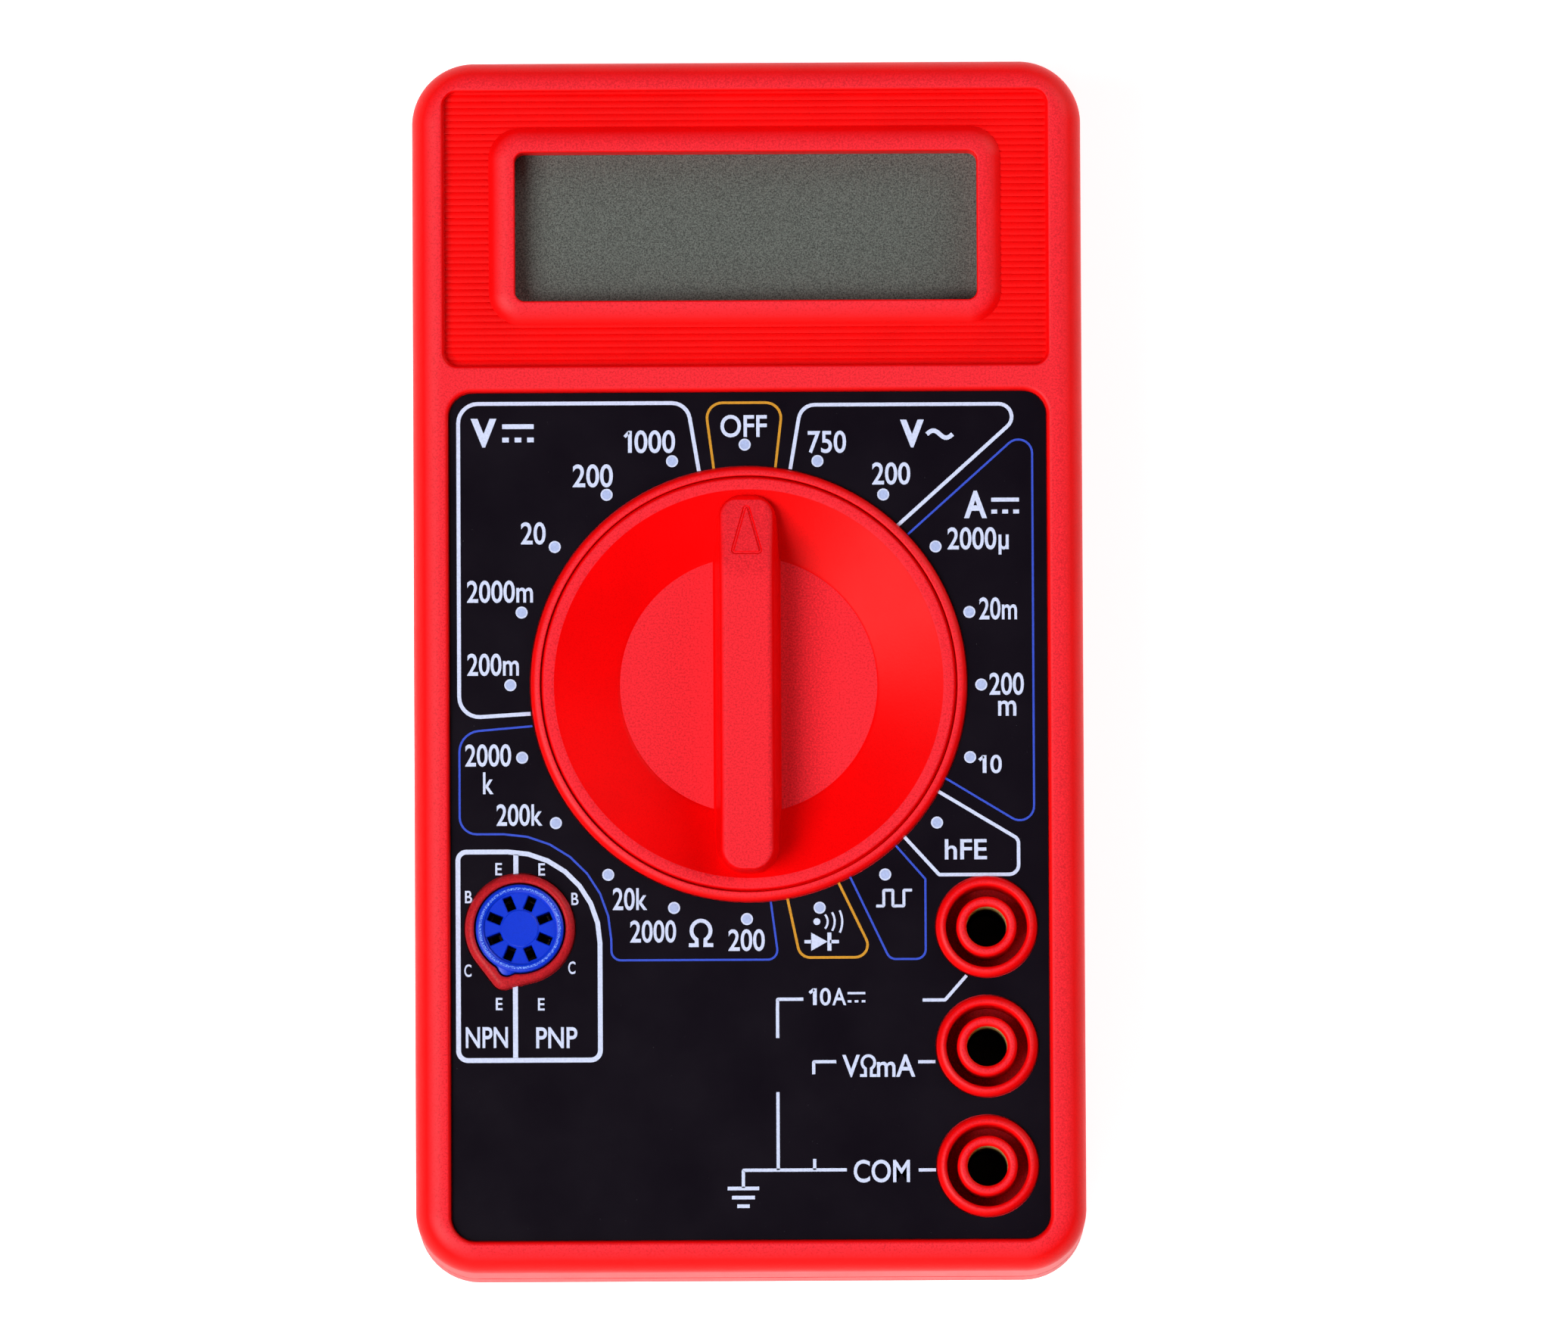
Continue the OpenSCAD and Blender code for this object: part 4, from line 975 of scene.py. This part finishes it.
# Corners (x, y, rounding) and width of each printed line
WHITE_LINES = [
    ([(-5.1, 20.35), (-6.3, 27.5, 1.9), (-30.25, 27.5, 2.05), (-30.25, -5.45, 2.1), (-22.8, -5.0)], 0.40),
    ([(4.45, 20.5), (5.6, 27.25, 1.7), (29.8, 27.25, 1.35), (15.65, 14.55)], 0.38),
    ([(19.7, -13.3), (28.1, -18.35, 0.8), (28.1, -22.05, 1.0), (19.8, -22.05, 0.2), (16.2, -18.1)], 0.36),
    ([(-24.4, -19.72), (-24.4, -21.85)], 0.52),
    ([(-24.5, -33.35), (-24.5, -40.98)], 0.52),
    ([(2.85, -39.05), (2.85, -35.0, 0.1), (5.55, -35.0)], 0.34),
    ([(18.0, -35.15), (20.35, -35.15, 0.2), (22.6, -32.6)], 0.34),
    ([(6.6, -42.85), (6.6, -41.55, 0.1), (8.95, -41.55)], 0.34),
    ([(17.5, -41.6), (19.3, -41.6)], 0.34),
    ([(2.85, -44.7), (2.85, -52.85)], 0.34),
    ([(6.65, -51.7), (6.65, -52.85)], 0.34),
    ([(-0.8, -54.7), (-0.8, -52.85, 0.1), (10.0, -52.85)], 0.34),
    ([(17.5, -52.9), (19.3, -52.9)], 0.34),
    ([(-2.45, -54.75), (0.85, -54.75)], 0.38),
    ([(-2.0, -55.7), (0.4, -55.7)], 0.38),
    ([(-1.45, -56.6), (-0.15, -56.6)], 0.38),
    ([(13.2, -25.3), (14.0, -25.3, 0.1), (14.0, -23.65, 0.1), (14.95, -23.65, 0.1), (14.95, -25.3, 0.1),
      (16.1, -25.3, 0.1), (16.1, -23.65, 0.1), (16.95, -23.65)], 0.30),
    ([(5.7, -29.0), (6.45, -29.0)], 0.35),
    ([(8.35, -29.0), (9.3, -29.0)], 0.35),
    ([(8.3, -29.95), (8.3, -28.05)], 0.42),
]
BLUE_LINES = [
    ([(16.7, 13.6), (29.75, 25.3, 1.45), (29.75, -17.55, 1.5), (20.5, -11.95)], 0.22),
    ([(15.3, -19.0), (18.35, -22.5, 0.15), (18.35, -30.85, 1.0), (14.6, -30.85, 1.0), (10.5, -22.25)], 0.22),
    ([(-22.6, -6.3), (-30.25, -6.95, 2.2), (-30.25, -17.6, 1.8), (-14.6, -17.6, 11.2), (-14.45, -30.85, 1.0),
      (3.0, -30.85, 1.0), (2.2, -24.8)], 0.22),
]
ORANGE_LINES = [
    ([(-3.55, 20.6), (-4.45, 27.5, 1.6), (3.7, 27.5, 1.6), (2.9, 20.7)], 0.27),
    ([(9.3, -22.85), (13.05, -30.65, 1.3), (5.25, -30.65, 1.3), (3.95, -24.5)], 0.27),
]
SOCKET_FRAME = [(-30.45, -19.45, 0.9), (-30.45, -41.25, 1.0), (-15.65, -41.25, 1.0), (-15.65, -19.45, 9.6)]

white_parts = [letters(*item) for item in TEXTS]
for x, y, h in ONES:
    white_parts.append(line([(x, y - h / 2), (x, y + h / 2)], 0.4))
    white_parts.append(line([(x - 0.55, y + h * 0.22), (x - 0.1, y + h * 0.44)], 0.32))
white_parts += [line(*item) for item in WHITE_LINES]
white_parts.append(line(SOCKET_FRAME, 0.5, True))
white_parts += direct_sign(-24.0, 25.1, 23.7, 3.3, 0.5)
white_parts += direct_sign(26.9, 17.2, 15.95, 2.9, 0.42)
white_parts += direct_sign(11.1, -34.4, -35.25, 1.85, 0.24)
white_parts.append(wave_sign(20.1, 24.1, 2.7, 0.46))
white_parts.append(ohm_sign(-5.1, -28.05, 2.55, 2.9, 0.4))
white_parts.append(ohm_sign(12.3, -42.0, 1.75, 2.33, 0.3))
white_parts.append(plate([(6.4, -29.95), (8.1, -29.0), (6.4, -28.05)]))
white_parts.append(dot(7.0, -26.9, 0.36))
for r, half in ((1.13, 41), (1.86, 31), (2.65, 26)):
    bow = arc(7.0, -26.9, r, -half, half, 10)
    white_parts.append(ribbon(bow, 0.22, INK_LOW, INK_TOP))

DOT_R = 24.6
dots = []
for i in range(20):
    turn = math.radians(90 + 18 * i)
    r = DOT_R + (0.5 if i == 0 else 0)
    sag = 0.17 * max(0, math.cos(turn))
    dots.append((kx - 0.3 + r * math.cos(turn), ky + r * math.sin(turn) - sag))
white_parts += [dot(x, y, 0.63) for x, y in dots]
fill_parts = [dot(x, y, 0.47, 0.015) for x, y in dots]

prints = [
    ("print_white", white_parts, (0.60, 0.66, 0.88)),
    ("print_blue", [line(*item) for item in BLUE_LINES], (0.028, 0.072, 0.58)),
    ("print_orange", [line(*item) for item in ORANGE_LINES], (0.60, 0.27, 0.012)),
    ("print_dots", fill_parts, (0.40, 0.48, 0.76)),
]
for name, parts, color in prints:
    place(solid(name, merge(parts)), "meter", ink_material(name, color), soften=False)


# ---- CAD nodes that stay: smooth shading ----

for name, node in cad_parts.items():
    if node.hide_render:
        continue
    node.data.shade_smooth()
    node.data.set_sharp_from_angle(angle=math.radians(32))


# ---- Floor, light and camera ----

floor_mesh = bpy.data.meshes.new("floor")
floor_mesh.from_pydata([(-3, -3, 0), (3, -3, 0), (3, 3, 0), (-3, 3, 0)], [], [(0, 1, 2, 3)])
floor = bpy.data.objects.new("floor", floor_mesh)
scene.collection.objects.link(floor)
floor.location.z = -0.0002
floor_shader = Shader("floor_white")
paper = floor_shader.blend(floor_shader.noise(60, 2), (0.58, 0.58, 0.58), (0.60, 0.60, 0.60))
floor_shader.set(Base_Color=paper,
                 Roughness=0.7, Specular_IOR_Level=0.2, Emission_Color=(1, 1, 1, 1), Emission_Strength=0.80)
floor_mesh.materials.append(floor_shader.material)


def studio_light(name, azimuth, off_vertical, distance, size, power):
    """Soft box aimed at the object, placed by its angle from straight above."""
    around, down = math.radians(azimuth), math.radians(off_vertical)
    flat = distance * math.sin(down)
    spot = Vector((flat * math.cos(around), flat * math.sin(around), distance * math.cos(down)))
    data = bpy.data.lights.new(name, "AREA")
    data.shape = "RECTANGLE"
    data.size = data.size_y = size
    data.energy = power
    light = bpy.data.objects.new(name, data)
    light.location = spot
    light.rotation_euler = (Vector((0, 0, 0.02)) - spot).to_track_quat("-Z", "Y").to_euler()
    scene.collection.objects.link(light)


studio_light("key", 205, 37, 2.0, 1.1, 44)
studio_light("fill", 35, 62, 2.0, 1.3, 20)
studio_light("front", 262, 62, 2.0, 1.3, 13)

world = bpy.data.worlds.new("studio")
world.use_nodes = True
sky = world.node_tree
sky_place = sky.nodes.new("ShaderNodeTexCoord")
sky_axis = sky.nodes.new("ShaderNodeSeparateXYZ")
sky_range = sky.nodes.new("ShaderNodeMapRange")
sky_range.inputs["From Min"].default_value = 0.35
sky_range.inputs["From Max"].default_value = 0.85
sky_range.inputs["To Min"].default_value = 1.4
sky_range.inputs["To Max"].default_value = 0.16
sky.links.new(sky_place.outputs["Generated"], sky_axis.inputs[0])
sky.links.new(sky_axis.outputs["Z"], sky_range.inputs["Value"])
sky.links.new(sky_range.outputs["Result"], sky.nodes["Background"].inputs["Strength"])
scene.world = world

# Viewpoint worked out from the photo: distance in metres, tilt off straight above, and roll
DISTANCE = 2.45
TILT = math.radians(4.3)
ROLL = math.radians(-0.28)
aim = Vector((0.0037, -0.00025, 0.022))
camera_data = bpy.data.cameras.new("camera")
camera_data.sensor_fit = "HORIZONTAL"
camera_data.sensor_width = 36
camera_data.lens = 538.1
camera_data.clip_start = 0.1
camera_data.clip_end = 20
camera = bpy.data.objects.new("camera", camera_data)
camera.location = aim + DISTANCE * Vector((0, -math.sin(TILT), math.cos(TILT)))
look = (aim - camera.location).to_track_quat("-Z", "Y")
camera.rotation_mode = "QUATERNION"
camera.rotation_quaternion = look @ Matrix.Rotation(ROLL, 3, "Z").to_quaternion()
scene.collection.objects.link(camera)
scene.camera = camera
scene.view_settings.view_transform = "Standard"
